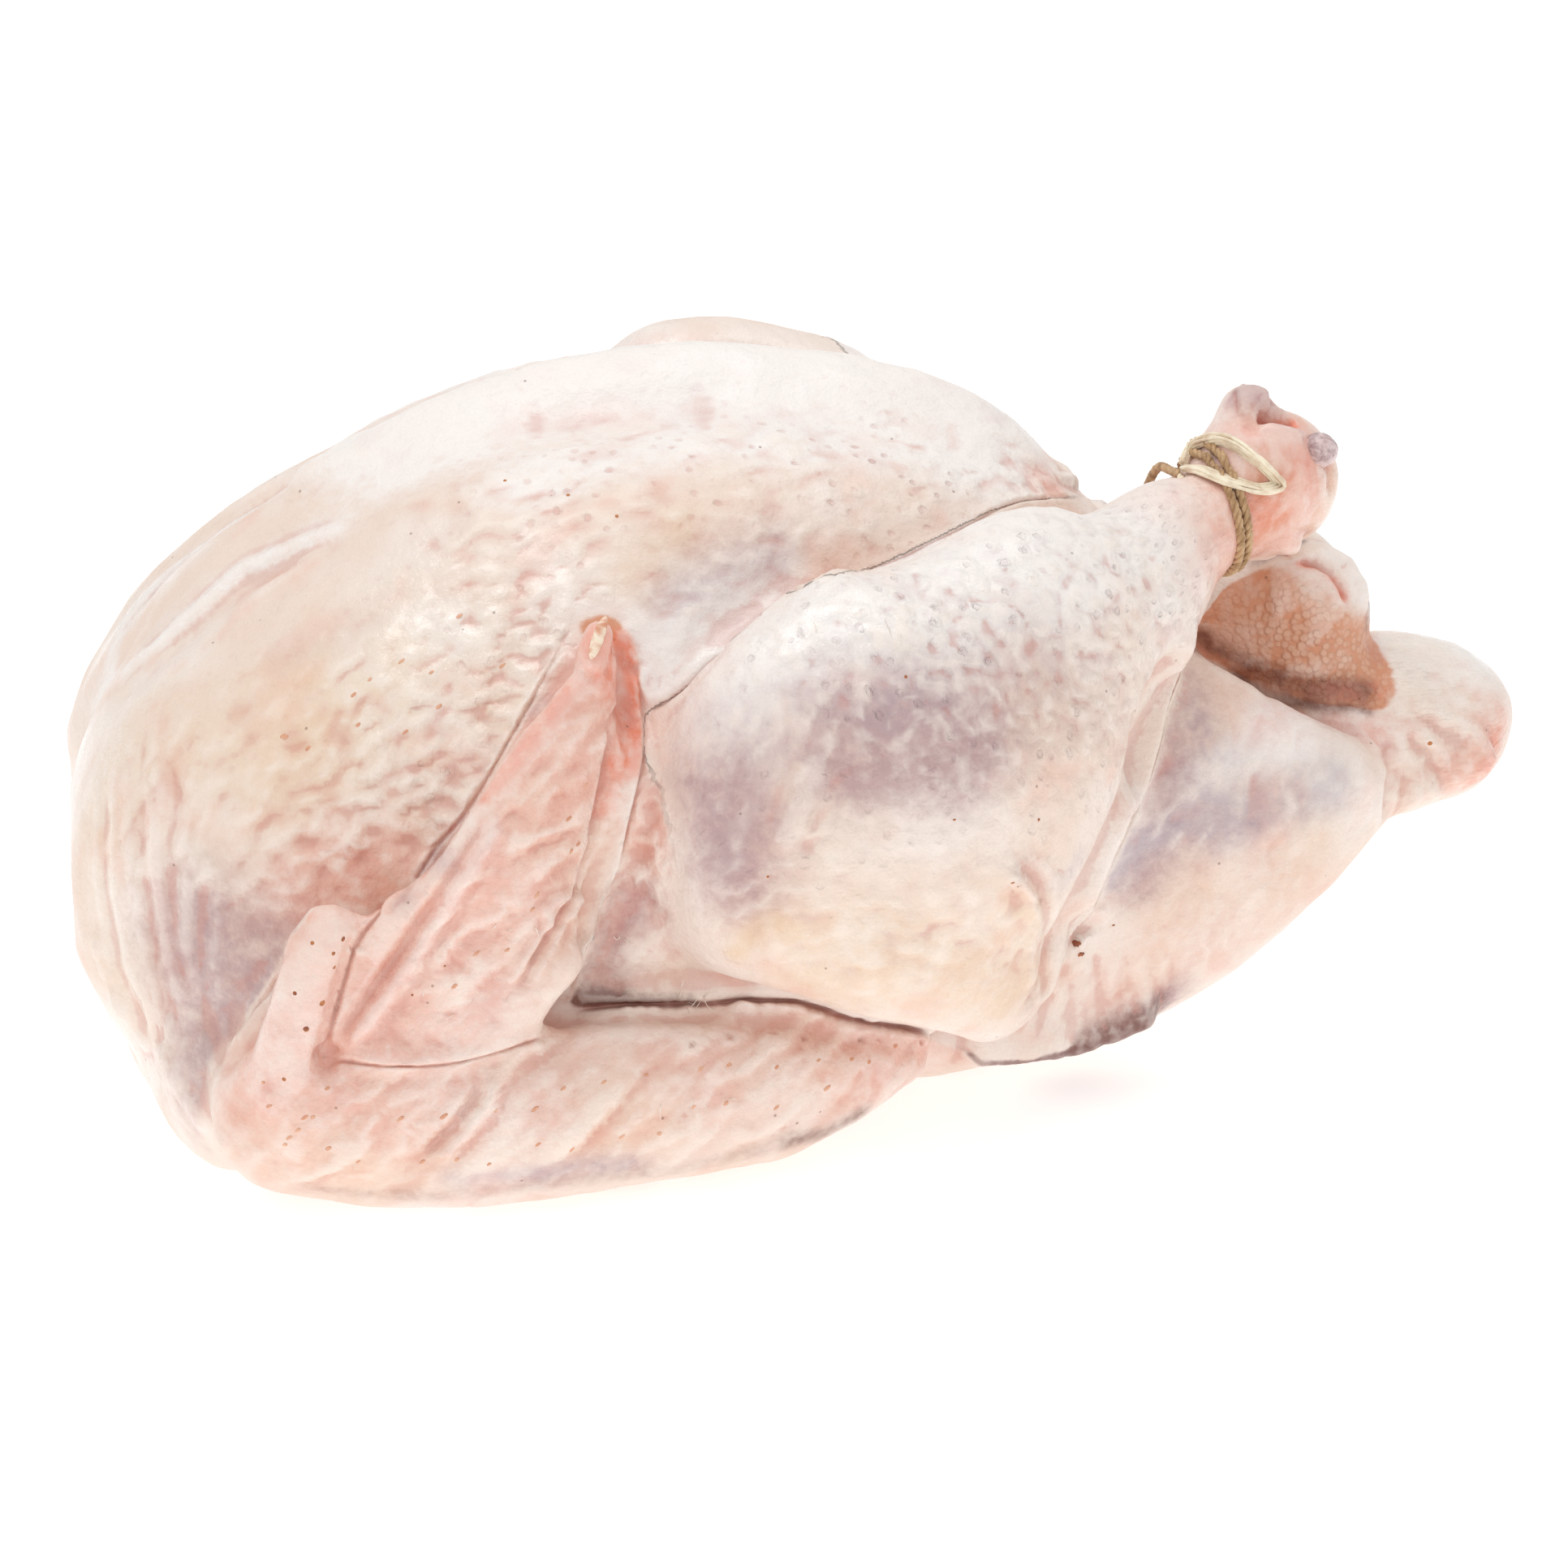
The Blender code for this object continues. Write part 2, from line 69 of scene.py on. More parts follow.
import bmesh
import bpy
import numpy as np
from mathutils import Quaternion, Vector, noise
from mathutils.bvhtree import BVHTree
from mathutils.kdtree import KDTree

MM = 0.001
BODY = "root"

# ---- the view ----
FRAME_SIDE = 1932
VIEW_AZIMUTH = -8.0
VIEW_ELEVATION = 22.0
VIEW_DISTANCE = 1.2
MIDDLE = Vector((-0.00456, -0.00039, 0.0))  # the bird's middle plane and the origin of its lofts
VIEW_TARGET = MIDDLE + Vector((0, 0, 0.0645))
LENS = 107.0
SENSOR = 36.0

# ---- where one limb lies on another: width and height of the flesh that closes up, width and depth
# of the cleft, in millimetres, then marks along the cleft ----
NEAR, BOTH = "near", "both"
CLEFTS = {
    "leg against the breast": (BOTH, 4.0, 1.0, 1.2, -1.2, [
        (795, 885), (860, 836), (900, 796), (960, 741), (1000, 720),
    ]),
    "leg against the breast, rear": (NEAR, 3.6, 1.0, 1.0, -1.0, [
        (970, 738), (1000, 720), (1060, 700), (1100, 684), (1140, 663), (1195, 634), (1240, 619),
        (1300, 614), (1340, 612),
    ]),
    "leg's right edge": (BOTH, 4.2, 3.2, 1.0, 0.0, [
        (1476, 764), (1450, 808), (1424, 862), (1406, 920), (1386, 990), (1362, 1042), (1340, 1096),
        (1322, 1140),
    ]),
    "leg against the pelvis": (BOTH, 3.6, 0.8, 1.2, -1.8, [
        (1490, 745), (1444, 831), (1424, 920), (1402, 995), (1356, 1103), (1330, 1155),
    ]),
    "thigh over the forearm": (BOTH, 5.0, 3.0, 1.6, -4.5, [
        (700, 1242), (760, 1236), (860, 1233), (1000, 1239), (1100, 1266), (1170, 1286),
    ]),
    "front edge of the hand": (BOTH, 4.6, 3.0, 1.1, -1.4, [
        (428, 1186), (474, 1124), (518, 1064), (546, 1032), (590, 954), (640, 870), (676, 810),
        (700, 776),
    ]),
    "rear edge of the hand": (BOTH, 4.6, 2.4, 1.1, -1.4, [
        (790, 800), (798, 860), (792, 930), (772, 1020), (757, 1095), (730, 1170), (696, 1246),
    ]),
    "thumb and hand": (BOTH, 3.2, 1.6, 1.1, -1.6, [(440, 1150), (432, 1210), (414, 1262), (402, 1300)]),
    "thumb and breast": (BOTH, 4.0, 2.0, 1.1, -1.0, [(386, 1108), (356, 1170), (318, 1245), (284, 1300)]),
    "hand over the forearm": (BOTH, 3.6, 2.0, 1.0, -1.4, [
        (404, 1312), (470, 1320), (540, 1320), (600, 1305), (650, 1288), (684, 1272),
    ]),
    "belly": (BOTH, 7.0, 6.0, 1.0, 0.0, [
        (1180, 1286), (1240, 1284), (1310, 1274), (1370, 1256), (1430, 1230),
    ]),
    "under the tail": (BOTH, 7.0, 4.5, 1.0, 0.0, [(1838, 916), (1816, 940), (1770, 960), (1724, 978)]),
}

# ---- the skin's relief: width and depth in millimetres, then marks. Depth above 0 is a ridge ----
RELIEF = {
    "lip of that fold": (BOTH, 3.0, 0.9, [(430, 1300), (500, 1305), (570, 1296), (640, 1270)]),
    "flap under the fold": (BOTH, 1.8, 1.3, [(610, 1330), (600, 1360), (575, 1395), (540, 1432)]),
    "shade of the flap": (BOTH, 1.6, -1.2, [(592, 1334), (582, 1358), (560, 1388), (524, 1424)]),
    "long skin fold": (BOTH, 2.2, 0.8, [
        (121, 864), (160, 825), (200, 790), (250, 745), (300, 700), (370, 670), (437, 647),
    ]),
    "shade of the long fold": (BOTH, 4.0, -0.6, [
        (126, 886), (166, 846), (208, 808), (258, 762), (310, 718), (376, 690), (440, 664),
    ]),
    "short skin fold": (BOTH, 2.2, 0.8, [(132, 770), (172, 714), (225, 668)]),
    "shade of the short fold": (BOTH, 4.0, -0.6, [(146, 790), (186, 732), (240, 684)]),
    "third skin fold": (BOTH, 4.0, 0.8, [(260, 640), (350, 590), (470, 552)]),
    "hollow beside the keel": (BOTH, 9.0, -1.6, [(630, 522), (700, 512), (800, 508), (900, 506)]),
    "wrinkle at the neck one": (BOTH, 2.4, -0.9, [
        (182, 860), (172, 960), (178, 1080), (196, 1190), (226, 1290),
    ]),
    "wrinkle at the neck two": (BOTH, 2.2, -0.8, [(222, 930), (208, 1040), (214, 1160), (240, 1260)]),
    "wrinkle at the neck three": (BOTH, 2.2, -0.8, [(132, 960), (126, 1080), (146, 1190), (186, 1290)]),
    "wrinkle at the neck four": (BOTH, 2.0, -0.7, [(252, 1080), (244, 1180), (262, 1270), (276, 1330)]),
    "bone of the hand": (BOTH, 1.9, 1.5, [
        (428, 1296), (462, 1248), (510, 1180), (560, 1102), (598, 1042), (622, 1000),
    ]),
    "groove by the bone": (BOTH, 1.3, -0.7, [
        (414, 1290), (446, 1240), (494, 1172), (544, 1094), (584, 1034), (606, 994),
    ]),
    "front roll of the hand": (BOTH, 2.4, 1.0, [
        (440, 1206), (486, 1150), (548, 1068), (600, 996), (662, 912), (700, 850),
    ]),
    "rear roll of the hand": (BOTH, 3.8, 2.8, [
        (776, 900), (770, 960), (752, 1040), (738, 1100), (710, 1172), (676, 1240),
    ]),
    "crease by the rear roll": (BOTH, 1.3, -1.8, [
        (756, 880), (748, 950), (730, 1036), (712, 1094), (676, 1160), (634, 1226),
    ]),
    "tip of the hand": (BOTH, 3.0, 3.0, [(746, 764), (738, 780), (730, 800), (722, 830)]),
    "swirl on the roll": (BOTH, 1.3, 0.9, [
        (690, 1150), (676, 1138), (672, 1122), (684, 1108), (704, 1104), (722, 1114),
    ]),
    "second swirl": (BOTH, 1.2, 0.8, [(700, 1140), (716, 1146), (732, 1138), (738, 1120)]),
    "knee of the hand roll": (BOTH, 3.5, 1.2, [(700, 1110), (716, 1128), (704, 1150)]),
    "tendon above the knee": (BOTH, 3.0, 0.9, [(1010, 925), (990, 985), (965, 1050)]),
    "edge of the thigh skin": (BOTH, 2.2, 0.9, [
        (1226, 1060), (1262, 1090), (1276, 1130), (1268, 1180), (1276, 1230), (1250, 1270),
    ]),
    "shade of the thigh skin": (BOTH, 1.6, -0.9, [
        (1244, 1056), (1280, 1088), (1294, 1130), (1286, 1180), (1292, 1230), (1270, 1270),
    ]),
    "thigh fold": (BOTH, 1.6, -0.4, [(1310, 1180), (1322, 1230), (1300, 1290)]),
    "pit behind the thigh": (BOTH, 4.0, -2.6, [(1328, 1142), (1336, 1158)]),
    "pelvis fold one": (BOTH, 1.6, -0.5, [(1350, 1170), (1356, 1230), (1346, 1290)]),
    "pelvis fold two": (BOTH, 1.4, -0.3, [(1382, 1160), (1396, 1215), (1388, 1270)]),
    "pelvis fold three": (BOTH, 1.4, -0.25, [(1430, 1130), (1446, 1190), (1436, 1240)]),
    "side of the vent": (BOTH, 3.0, 1.0, [
        (1480, 816), (1540, 848), (1600, 866), (1660, 880), (1700, 900),
    ]),
    "tail fold one": (BOTH, 2.4, -1.4, [(1706, 900), (1716, 950), (1708, 1010), (1696, 1050)]),
    "tail fold two": (BOTH, 2.0, -1.0, [(1732, 900), (1756, 930), (1776, 972)]),
    "tail fold three": (BOTH, 2.0, -0.9, [(1742, 880), (1772, 900), (1806, 918)]),
    "notch of the near hock": (NEAR, 1.7, -3.6, [(1548, 512), (1566, 516), (1584, 520), (1600, 520)]),
    "knob of the near hock": (NEAR, 4.2, 2.6, [(1524, 494), (1546, 490), (1562, 496)]),
    "ridge below the notch": (NEAR, 2.6, 1.0, [(1550, 530), (1580, 536), (1606, 540)]),
    "cleft of the near hock": (NEAR, 2.0, -1.2, [(1628, 560), (1640, 580), (1640, 610)]),
    "rim of the far hock": (NEAR, 2.4, 2.0, [
        (1572, 676), (1604, 672), (1634, 678), (1660, 694), (1674, 720), (1680, 756),
    ]),
    "cut in the far hock": (NEAR, 1.4, -1.6, [
        (1600, 690), (1622, 692), (1642, 704), (1654, 722), (1660, 744),
    ]),
    "dome of the far hock": (NEAR, 7.0, 1.6, [(1560, 740), (1600, 740), (1640, 780)]),
}

# the folds of the relief round which the mesh is made finer
FINE_FOLDS = (
    "flap under the fold", "bone of the hand", "groove by the bone", "crease by the rear roll",
    "notch of the near hock", "knob of the near hock", "rim of the far hock", "cut in the far hock",
    "edge of the thigh skin", "tail fold one",
)

# ---- fields of wrinkles: radius, angle in the view, spacing, stretch, depth and sharpness, then marks;
# lengths in millimetres ----
DRUMSTICK = [(1120, 800), (1240, 760), (1340, 740), (1400, 700)]
FOREARM = [(420, 1420), (640, 1390), (860, 1350), (1060, 1300)]
HAND = [(560, 1200), (640, 1110), (690, 1000), (730, 880)]
TAIL_SIDE = [(1740, 860), (1790, 900), (1820, 950)]
GLOSSY_SPOT = [(812, 806), (850, 800), (885, 800)]
WRINKLES = {
    "forearm, broad": (BOTH, 24, 36, 4.4, 5.0, 1.0, 0.1, FOREARM),
    "forearm, fine": (BOTH, 22, 38, 2.6, 8.0, 0.35, 0.5, FOREARM),
    "hand, broad": (BOTH, 15, 34, 3.8, 3.6, 0.9, 0.1, HAND),
    "hand, fine": (BOTH, 15, 30, 2.6, 5.0, 0.4, 0.5, HAND),
    "palm": (BOTH, 10, 2, 3.8, 4.4, 0.45, 0.7, [(470, 1290), (560, 1270), (640, 1220)]),
    "lower thigh": (BOTH, 12, 52, 4.8, 3.6, 0.5, 0.6, [(1220, 1180), (1270, 1180), (1320, 1220)]),
    "hairline marks": (BOTH, 7, -32, 2.6, 5.0, 0.4, 0.9, [(1250, 1076), (1310, 1100)]),
    "wing pit": (BOTH, 10, 40, 4.4, 3.4, 0.9, 0.6, [(780, 1110), (770, 1160)]),
    "neck": (BOTH, 15, 84, 5.4, 4.6, 0.6, 0.6, [(190, 960), (196, 1120), (226, 1290)]),
    "front below": (BOTH, 14, 100, 4.6, 4.2, 0.6, 0.6, [(176, 1250), (210, 1340)]),
    "front, in the violet": (BOTH, 16, -12, 4.4, 5.5, 0.22, 0.7, [(280, 1180), (330, 1200), (320, 1260)]),
    "breast's tail end": (BOTH, 11, -40, 3.0, 1.7, 1.6, 0.25, [(1270, 596), (1330, 606), (1390, 618)]),
    "near hock": (NEAR, 14, 66, 4.8, 2.6, 0.5, 0.4, [(1570, 580), (1600, 630)]),
    "shank": (NEAR, 11, 44, 4.6, 3.4, 0.4, 0.4, [(1440, 640), (1490, 690)]),
    "tail": (BOTH, 15, 12, 2.6, 1.5, 0.4, 0.1, [(1730, 930), (1780, 900), (1810, 860)]),
    "pelvis, high": (BOTH, 20, 62, 4.0, 2.0, 0.35, 0.0, [(1440, 1000), (1500, 960), (1580, 960)]),
    "pelvis": (BOTH, 20, 80, 2.8, 4.0, 0.4, 0.3, [(1340, 1230), (1420, 1200), (1500, 1140)]),
    "above the drumstick": (BOTH, 13, 24, 2.6, 2.2, 0.4, 0.1, [(840, 730), (900, 700), (960, 676)]),
    "lower breast": (BOTH, 27, 24, 3.0, 1.9, 1.0, 0.0, [(440, 1040), (540, 960), (620, 880), (660, 800)]),
    "lower breast, creases": (BOTH, 22, 22, 5.0, 3.0, 0.25, 0.7, [(440, 1050), (540, 970), (640, 880)]),
    "breast front": (BOTH, 30, 50, 4.6, 1.8, 0.6, 0.0, [(260, 980), (340, 940), (420, 880)]),
    "breast top": (BOTH, 28, 14, 3.6, 1.9, 0.42, 0.0, [(600, 640), (800, 600), (1000, 580), (1200, 590)]),
    "leg, bumps": (BOTH, 32, -42, 2.6, 1.5, 0.75, 0.0, [(1180, 800), (1300, 800), (1380, 740)]),
    "leg, front": (BOTH, 26, 76, 3.4, 2.2, 0.4, 0.1, [(960, 900), (1060, 840), (1160, 780)]),
    "lower thigh, bumps": (BOTH, 24, 10, 3.6, 1.5, 0.4, 0.0, [(980, 1100), (1100, 1150), (1220, 1120)]),
    "fat before the thigh": (BOTH, 11, 60, 2.8, 1.4, 1.3, 0.2, [(806, 900), (814, 1000), (800, 1070)]),
}

# ---- rows of single bumps: (width, height) of the bump and of the hole in it, spacing in frame pixels ----
BUMP_ROWS = {
    "feather sockets of the forearm": (BOTH, (4.0, 1.0), (1.6, -1.6), 47, [
        (830, 1284), (900, 1280), (1000, 1278), (1090, 1284), (1160, 1294),
    ]),
    "second feather sockets": (BOTH, (3.0, 0.6), (1.2, -0.9), 52, [
        (650, 1330), (800, 1322), (960, 1320),
    ]),
    "top edge of the forearm": (BOTH, (2.6, 1.3), None, 19, [
        (760, 1244), (880, 1240), (1000, 1246), (1090, 1264),
    ]),
    "sockets of the hand edge": (BOTH, (2.6, 1.2), None, 17, [
        (762, 782), (778, 812), (786, 850), (782, 890),
    ]),
    "sockets of the roll": (BOTH, (2.0, 0.5), (0.9, -0.8), 30, [
        (770, 930), (752, 1030), (736, 1096), (706, 1160), (676, 1230),
    ]),
    "edge of the neck skin": (BOTH, (5.0, 1.5), None, 30, [
        (112, 1160), (140, 1226), (172, 1266), (206, 1312), (244, 1366), (280, 1420),
    ]),
    "pores of the thumb": (BOTH, (1.6, 0.3), (0.8, -0.9), 24, [
        (424, 1130), (430, 1170), (424, 1210), (410, 1250),
    ]),
}

# ---- patches of colour and of relief: radius in millimetres, strength, marks ----
PAINT = {
    "rose": {
        "hollow by the keel": (NEAR, 9, 0.35, [(650, 515), (720, 512), (790, 516)]),
        "lower breast": (BOTH, 24, 0.18, [(420, 1050), (520, 1000), (600, 930), (680, 850)]),
        "by the thumb": (BOTH, 14, 0.9, [(390, 1100), (450, 1090), (510, 1085)]),
        "by the thumb, deep": (BOTH, 5, 0.8, [(420, 1118), (455, 1130)]),
        "neck folds": (BOTH, 7, 0.4, [(185, 1000), (190, 1080), (215, 1180)]),
        "neck folds, upper": (BOTH, 6, 0.35, [(190, 880), (215, 940), (225, 1010)]),
        "fat before the thigh": (BOTH, 13, 0.4, [(800, 950), (812, 1010), (800, 1060), (780, 1110)]),
        "fat before the thigh, deep": (BOTH, 6, 0.3, [(790, 985), (822, 1010), (800, 1050)]),
        "hand": (BOTH, 26, 0.75, [(440, 1280), (540, 1170), (620, 1080), (690, 960), (730, 850)]),
        "groove of the hand": (BOTH, 2.5, 0.8, [(404, 1310), (440, 1262), (488, 1192), (530, 1126)]),
        "forearm": (BOTH, 26, 0.42, [(320, 1380), (500, 1390), (700, 1360), (900, 1330), (1100, 1290)]),
        "forearm sockets": (BOTH, 7, 0.1, [(820, 1286), (900, 1282), (1000, 1280), (1090, 1288)]),
        "elbow": (BOTH, 10, 0.5, [(1040, 1330), (1120, 1300), (1170, 1290)]),
        "thumb": (BOTH, 10, 0.45, [(400, 1130), (380, 1200), (340, 1290), (300, 1360)]),
        "end of the breast": (BOTH, 9, 0.8, [(1290, 600), (1340, 606), (1390, 612)]),
        "shank": (NEAR, 14, 0.3, [(1440, 620), (1500, 640), (1480, 700)]),
        "near hock": (NEAR, 24, 0.8, [(1550, 540), (1580, 600), (1600, 620)]),
        "near hock, low": (NEAR, 12, 0.9, [(1540, 660), (1580, 640)]),
        "near hock, deep": (NEAR, 12, 0.9, [(1540, 640), (1580, 600), (1610, 560)]),
        "lip of the vent": (BOTH, 11, 0.4, [(1500, 850), (1570, 880), (1640, 890), (1690, 910)]),
        "tail": (BOTH, 18, 0.35, [(1760, 900), (1810, 940), (1790, 1000)]),
        "tail end": (BOTH, 8, 0.9, [(1848, 890), (1838, 920), (1800, 944)]),
        "under the tail": (BOTH, 9, 0.5, [(1720, 1030), (1760, 1020)]),
        "lower thigh": (BOTH, 22, 0.22, [(950, 1120), (1080, 1170), (1200, 1180)]),
        "pelvis below": (BOTH, 26, 0.35, [(1340, 1230), (1450, 1170), (1560, 1090)]),
    },
    "violet": {
        "above the drumstick": (BOTH, 11, 0.45, [(820, 730), (870, 700), (940, 680)]),
        "above the drumstick, wide": (BOTH, 14, 0.2, [(840, 690), (960, 660), (1080, 640)]),
        "thigh, middle": (BOTH, 15, 0.95, [(1060, 930), (1120, 915), (1180, 930)]),
        "thigh, middle wide": (BOTH, 20, 0.45, [(1000, 880), (1120, 870), (1230, 860)]),
        "thigh, front": (BOTH, 12, 0.85, [(890, 980), (905, 1030), (900, 1070)]),
        "thigh, front wide": (BOTH, 17, 0.4, [(860, 930), (890, 1040), (900, 1090)]),
        "drumstick": (BOTH, 13, 0.35, [(1280, 800), (1340, 880), (1380, 900)]),
        "drumstick edge": (BOTH, 6, 0.08, [(1430, 820), (1410, 920), (1385, 1000)]),
        "neck, low": (BOTH, 23, 0.8, [(250, 1160), (310, 1190), (340, 1240), (300, 1310)]),
        "neck, low end": (BOTH, 11, 0.5, [(240, 1270), (250, 1340), (262, 1400)]),
        # violet skin on the pelvis beside the leg's edge, darkened there as painted shade
        "pelvis by the leg": (BOTH, 8, 0.6, [(1474, 850), (1456, 930), (1434, 1010), (1400, 1090)]),
        "pelvis, high": (BOTH, 12, 0.35, [(1450, 930), (1490, 940), (1530, 950)]),
        "pelvis, band": (BOTH, 9, 0.12, [(1420, 1030), (1480, 1020), (1560, 990), (1620, 970)]),
        "pelvis, band two": (BOTH, 8, 0.45, [(1400, 1080), (1450, 1060), (1530, 1020)]),
        # painted shade: violet on the shaded underside below the pelvis
        "below the pelvis": (BOTH, 8, 0.9, [
            (1190, 1286), (1240, 1284), (1310, 1276), (1380, 1256), (1440, 1226),
        ]),
        "hand": (BOTH, 5, 0.65, [(520, 1070), (546, 1060)]),
        "hand, upper": (BOTH, 4, 0.6, [(664, 880), (676, 868)]),
        "hand, edge": (BOTH, 3.5, 0.6, [(500, 1112), (540, 1048), (566, 1010)]),
        "forearm, low": (BOTH, 6, 0.5, [(670, 1446), (720, 1436), (790, 1428)]),
        "wrist": (BOTH, 8, 0.25, [(330, 1340), (360, 1360)]),
        "wing pit": (BOTH, 9, 0.7, [(740, 1190), (760, 1150), (790, 1110)]),
        "knob of the near hock": (NEAR, 7, 0.9, [(1535, 488), (1558, 492)]),
        "far hock behind": (NEAR, 5, 0.9, [(1680, 690), (1686, 730), (1686, 770)]),
    },
    "ochre": {
        "front, low": (BOTH, 20, 0.4, [(130, 1020), (120, 1120), (150, 1220)]),
        "front of the breast": (BOTH, 34, 0.45, [(180, 900), (260, 980), (340, 900), (420, 860)]),
        "breast, middle": (BOTH, 30, 0.35, [(420, 900), (520, 860), (600, 820)]),
        "beside the violet": (BOTH, 10, 0.6, [(785, 720), (800, 700), (840, 660)]),
        "lower thigh": (BOTH, 24, 0.7, [(1040, 1180), (1150, 1190), (1220, 1220), (1240, 1150)]),
        "pelvis": (BOTH, 16, 0.4, [(1420, 1150), (1520, 1110), (1620, 1040)]),
        "near hock, low": (NEAR, 9, 0.9, [(1644, 600), (1630, 640)]),
        "streak on the thigh": (BOTH, 3, 0.9, [(905, 1175), (925, 1150), (950, 1130), (975, 1150)]),
        "tail": (BOTH, 18, 0.5, [(1740, 860), (1800, 890)]),
        "tail top": (BOTH, 12, 0.25, [(1700, 800), (1760, 800)]),
        "rear roll of the hand": (BOTH, 5, 0.3, [
            (776, 910), (766, 1000), (742, 1090), (712, 1160), (684, 1226),
        ]),
        "wrist": (BOTH, 12, 0.3, [(380, 1400), (420, 1440)]),
        "forearm": (BOTH, 14, 0.35, [(480, 1440), (620, 1420), (800, 1400)]),
    },
    "coral": {
        "hand tip": (BOTH, 8, 0.7, [(732, 800), (745, 806), (758, 830)]),
        "hand tip, rear": (BOTH, 3.4, 0.9, [(766, 790), (780, 850), (778, 900), (770, 940)]),
        "hand, front edge": (BOTH, 3, 0.7, [(700, 850), (670, 890), (640, 930), (600, 980)]),
        "hand, front edge low": (BOTH, 2.5, 0.4, [(560, 1020), (520, 1080)]),
        "inside the roll": (BOTH, 3, 0.5, [(760, 880), (754, 940), (742, 1000)]),
        "thumb tip": (BOTH, 2.2, 0.6, [(384, 1128), (400, 1112), (416, 1114)]),
        "near hock": (NEAR, 9, 0.5, [(1550, 640), (1590, 616), (1604, 590)]),
        "notch of the near hock": (NEAR, 1.8, 0.7, [(1556, 516), (1575, 520), (1596, 520)]),
        "cut in the far hock": (NEAR, 2.0, 0.7, [(1606, 694), (1626, 698), (1646, 714), (1656, 734)]),
        "lip of the vent": (BOTH, 8, 0.3, [(1560, 870), (1640, 880), (1690, 900)]),
        "far hock, upper": (NEAR, 6, 0.28, [(1560, 712), (1600, 704), (1640, 726)]),
        "tip of the far hock": (NEAR, 2.4, 0.5, [(1690, 846), (1704, 856)]),
        "speck behind the thigh": (BOTH, 1.8, 0.35, [(1326, 1158), (1330, 1176)]),
        "tail end": (BOTH, 5, 0.5, [(1852, 880), (1836, 926), (1806, 956)]),
    },
    "pale": {
        # painted highlight: milk-pale colour on the glossy spots
        "glossy spot": (BOTH, 13, 1.0, GLOSSY_SPOT),
        "glossy spot, breast": (BOTH, 10, 0.55, [(530, 770), (570, 790)]),
        "leg, inner side": (BOTH, 16, 0.8, [(1120, 676), (1200, 650), (1280, 632)]),
        "leg top": (BOTH, 26, 0.75, [(900, 850), (1000, 790), (1120, 740), (1280, 690), (1400, 650)]),
        "keel": (BOTH, 26, 0.9, [(500, 520), (700, 460), (900, 450), (1080, 460), (1200, 510)]),
        "lobe": (BOTH, 14, 0.6, [(640, 600), (780, 560), (900, 545), (1100, 545), (1220, 580)]),
        "tail top": (BOTH, 12, 0.6, [(1720, 790), (1780, 800)]),
        "near hock end": (NEAR, 6, 0.9, [(1618, 536), (1640, 540)]),
        "near hock, upper": (NEAR, 7, 0.8, [(1500, 520), (1510, 560), (1560, 550), (1600, 548)]),
        "near hock, knob": (NEAR, 3, 0.8, [(1510, 496), (1500, 512)]),
        "far hock, upper": (NEAR, 7, 0.4, [(1580, 696), (1614, 708), (1644, 730)]),
        "white hollow above the leg": (BOTH, 10, 0.9, [(800, 770), (850, 764), (900, 742), (950, 716)]),
        "far hock rim": (NEAR, 5, 0.5, [(1560, 680), (1604, 674), (1634, 680), (1660, 700), (1676, 740)]),
        "pelvis": (BOTH, 7, 0.7, [(1460, 960), (1530, 930), (1600, 915)]),
        "lip of the vent": (BOTH, 7, 0.9, [(1560, 880), (1640, 890), (1700, 900)]),
        "rear roll of the hand": (BOTH, 4, 0.5, [
            (776, 920), (766, 1000), (742, 1090), (712, 1160), (684, 1226),
        ]),
        "long fold": (BOTH, 5.5, 0.6, [
            (121, 864), (160, 825), (200, 790), (250, 745), (300, 700), (370, 670), (410, 656),
        ]),
        "short fold": (BOTH, 5, 0.6, [(132, 770), (172, 714), (225, 668)]),
        "tail": (BOTH, 18, 0.5, [(1740, 850), (1790, 880)]),
        "bone of the hand": (BOTH, 3, 0.7, [(450, 1262), (510, 1180), (560, 1102), (610, 1020)]),
    },
    "tan": {
        "far hock": (NEAR, 13, 1.0, [(1530, 764), (1580, 780), (1620, 806), (1660, 834)]),
        "far hock, left": (NEAR, 12, 1.0, [(1490, 760), (1510, 740)]),
        "far hock, low": (NEAR, 10, 1.0, [(1540, 820), (1600, 840), (1680, 850)]),
        "far hock, right": (NEAR, 6, 0.9, [(1684, 790), (1690, 820)]),
        "near hock": (NEAR, 12, 0.36, [(1570, 590), (1590, 620), (1560, 650)]),
        "under the near hock": (NEAR, 5, 0.5, [(1630, 654), (1600, 666)]),
        "tip of the hand": (BOTH, 2.4, 1.0, [(728, 774), (742, 770), (754, 776)]),
        "speck on the pelvis": (BOTH, 1.5, 0.3, [(1366, 1140), (1374, 1144)]),
    },
    # painted shade: deep brown laid where shade falls, in the gaps between limbs, under the forearm, the
    # hocks and the belly, behind the far hock, at the end of the elbow and in the wing pit
    "dark": {
        "gap over the forearm": (BOTH, 2.8, 1.0, [
            (704, 1240), (780, 1234), (860, 1230), (960, 1232), (1010, 1240),
        ]),
        "gap, its end": (BOTH, 2.0, 0.25, [(1010, 1240), (1100, 1264), (1160, 1284)]),
        "forearm, under": (BOTH, 5, 0.3, [
            (380, 1464), (520, 1474), (640, 1464), (760, 1448), (860, 1436), (960, 1408),
        ]),
        "foot of the far hock": (NEAR, 4.5, 0.6, [(1480, 784), (1540, 824), (1600, 844), (1680, 852)]),
        "behind the far hock": (NEAR, 3.5, 0.5, [(1680, 690), (1684, 730), (1684, 766)]),
        "under the hock": (NEAR, 4, 0.9, [(1466, 792), (1530, 836), (1600, 858), (1680, 868)]),
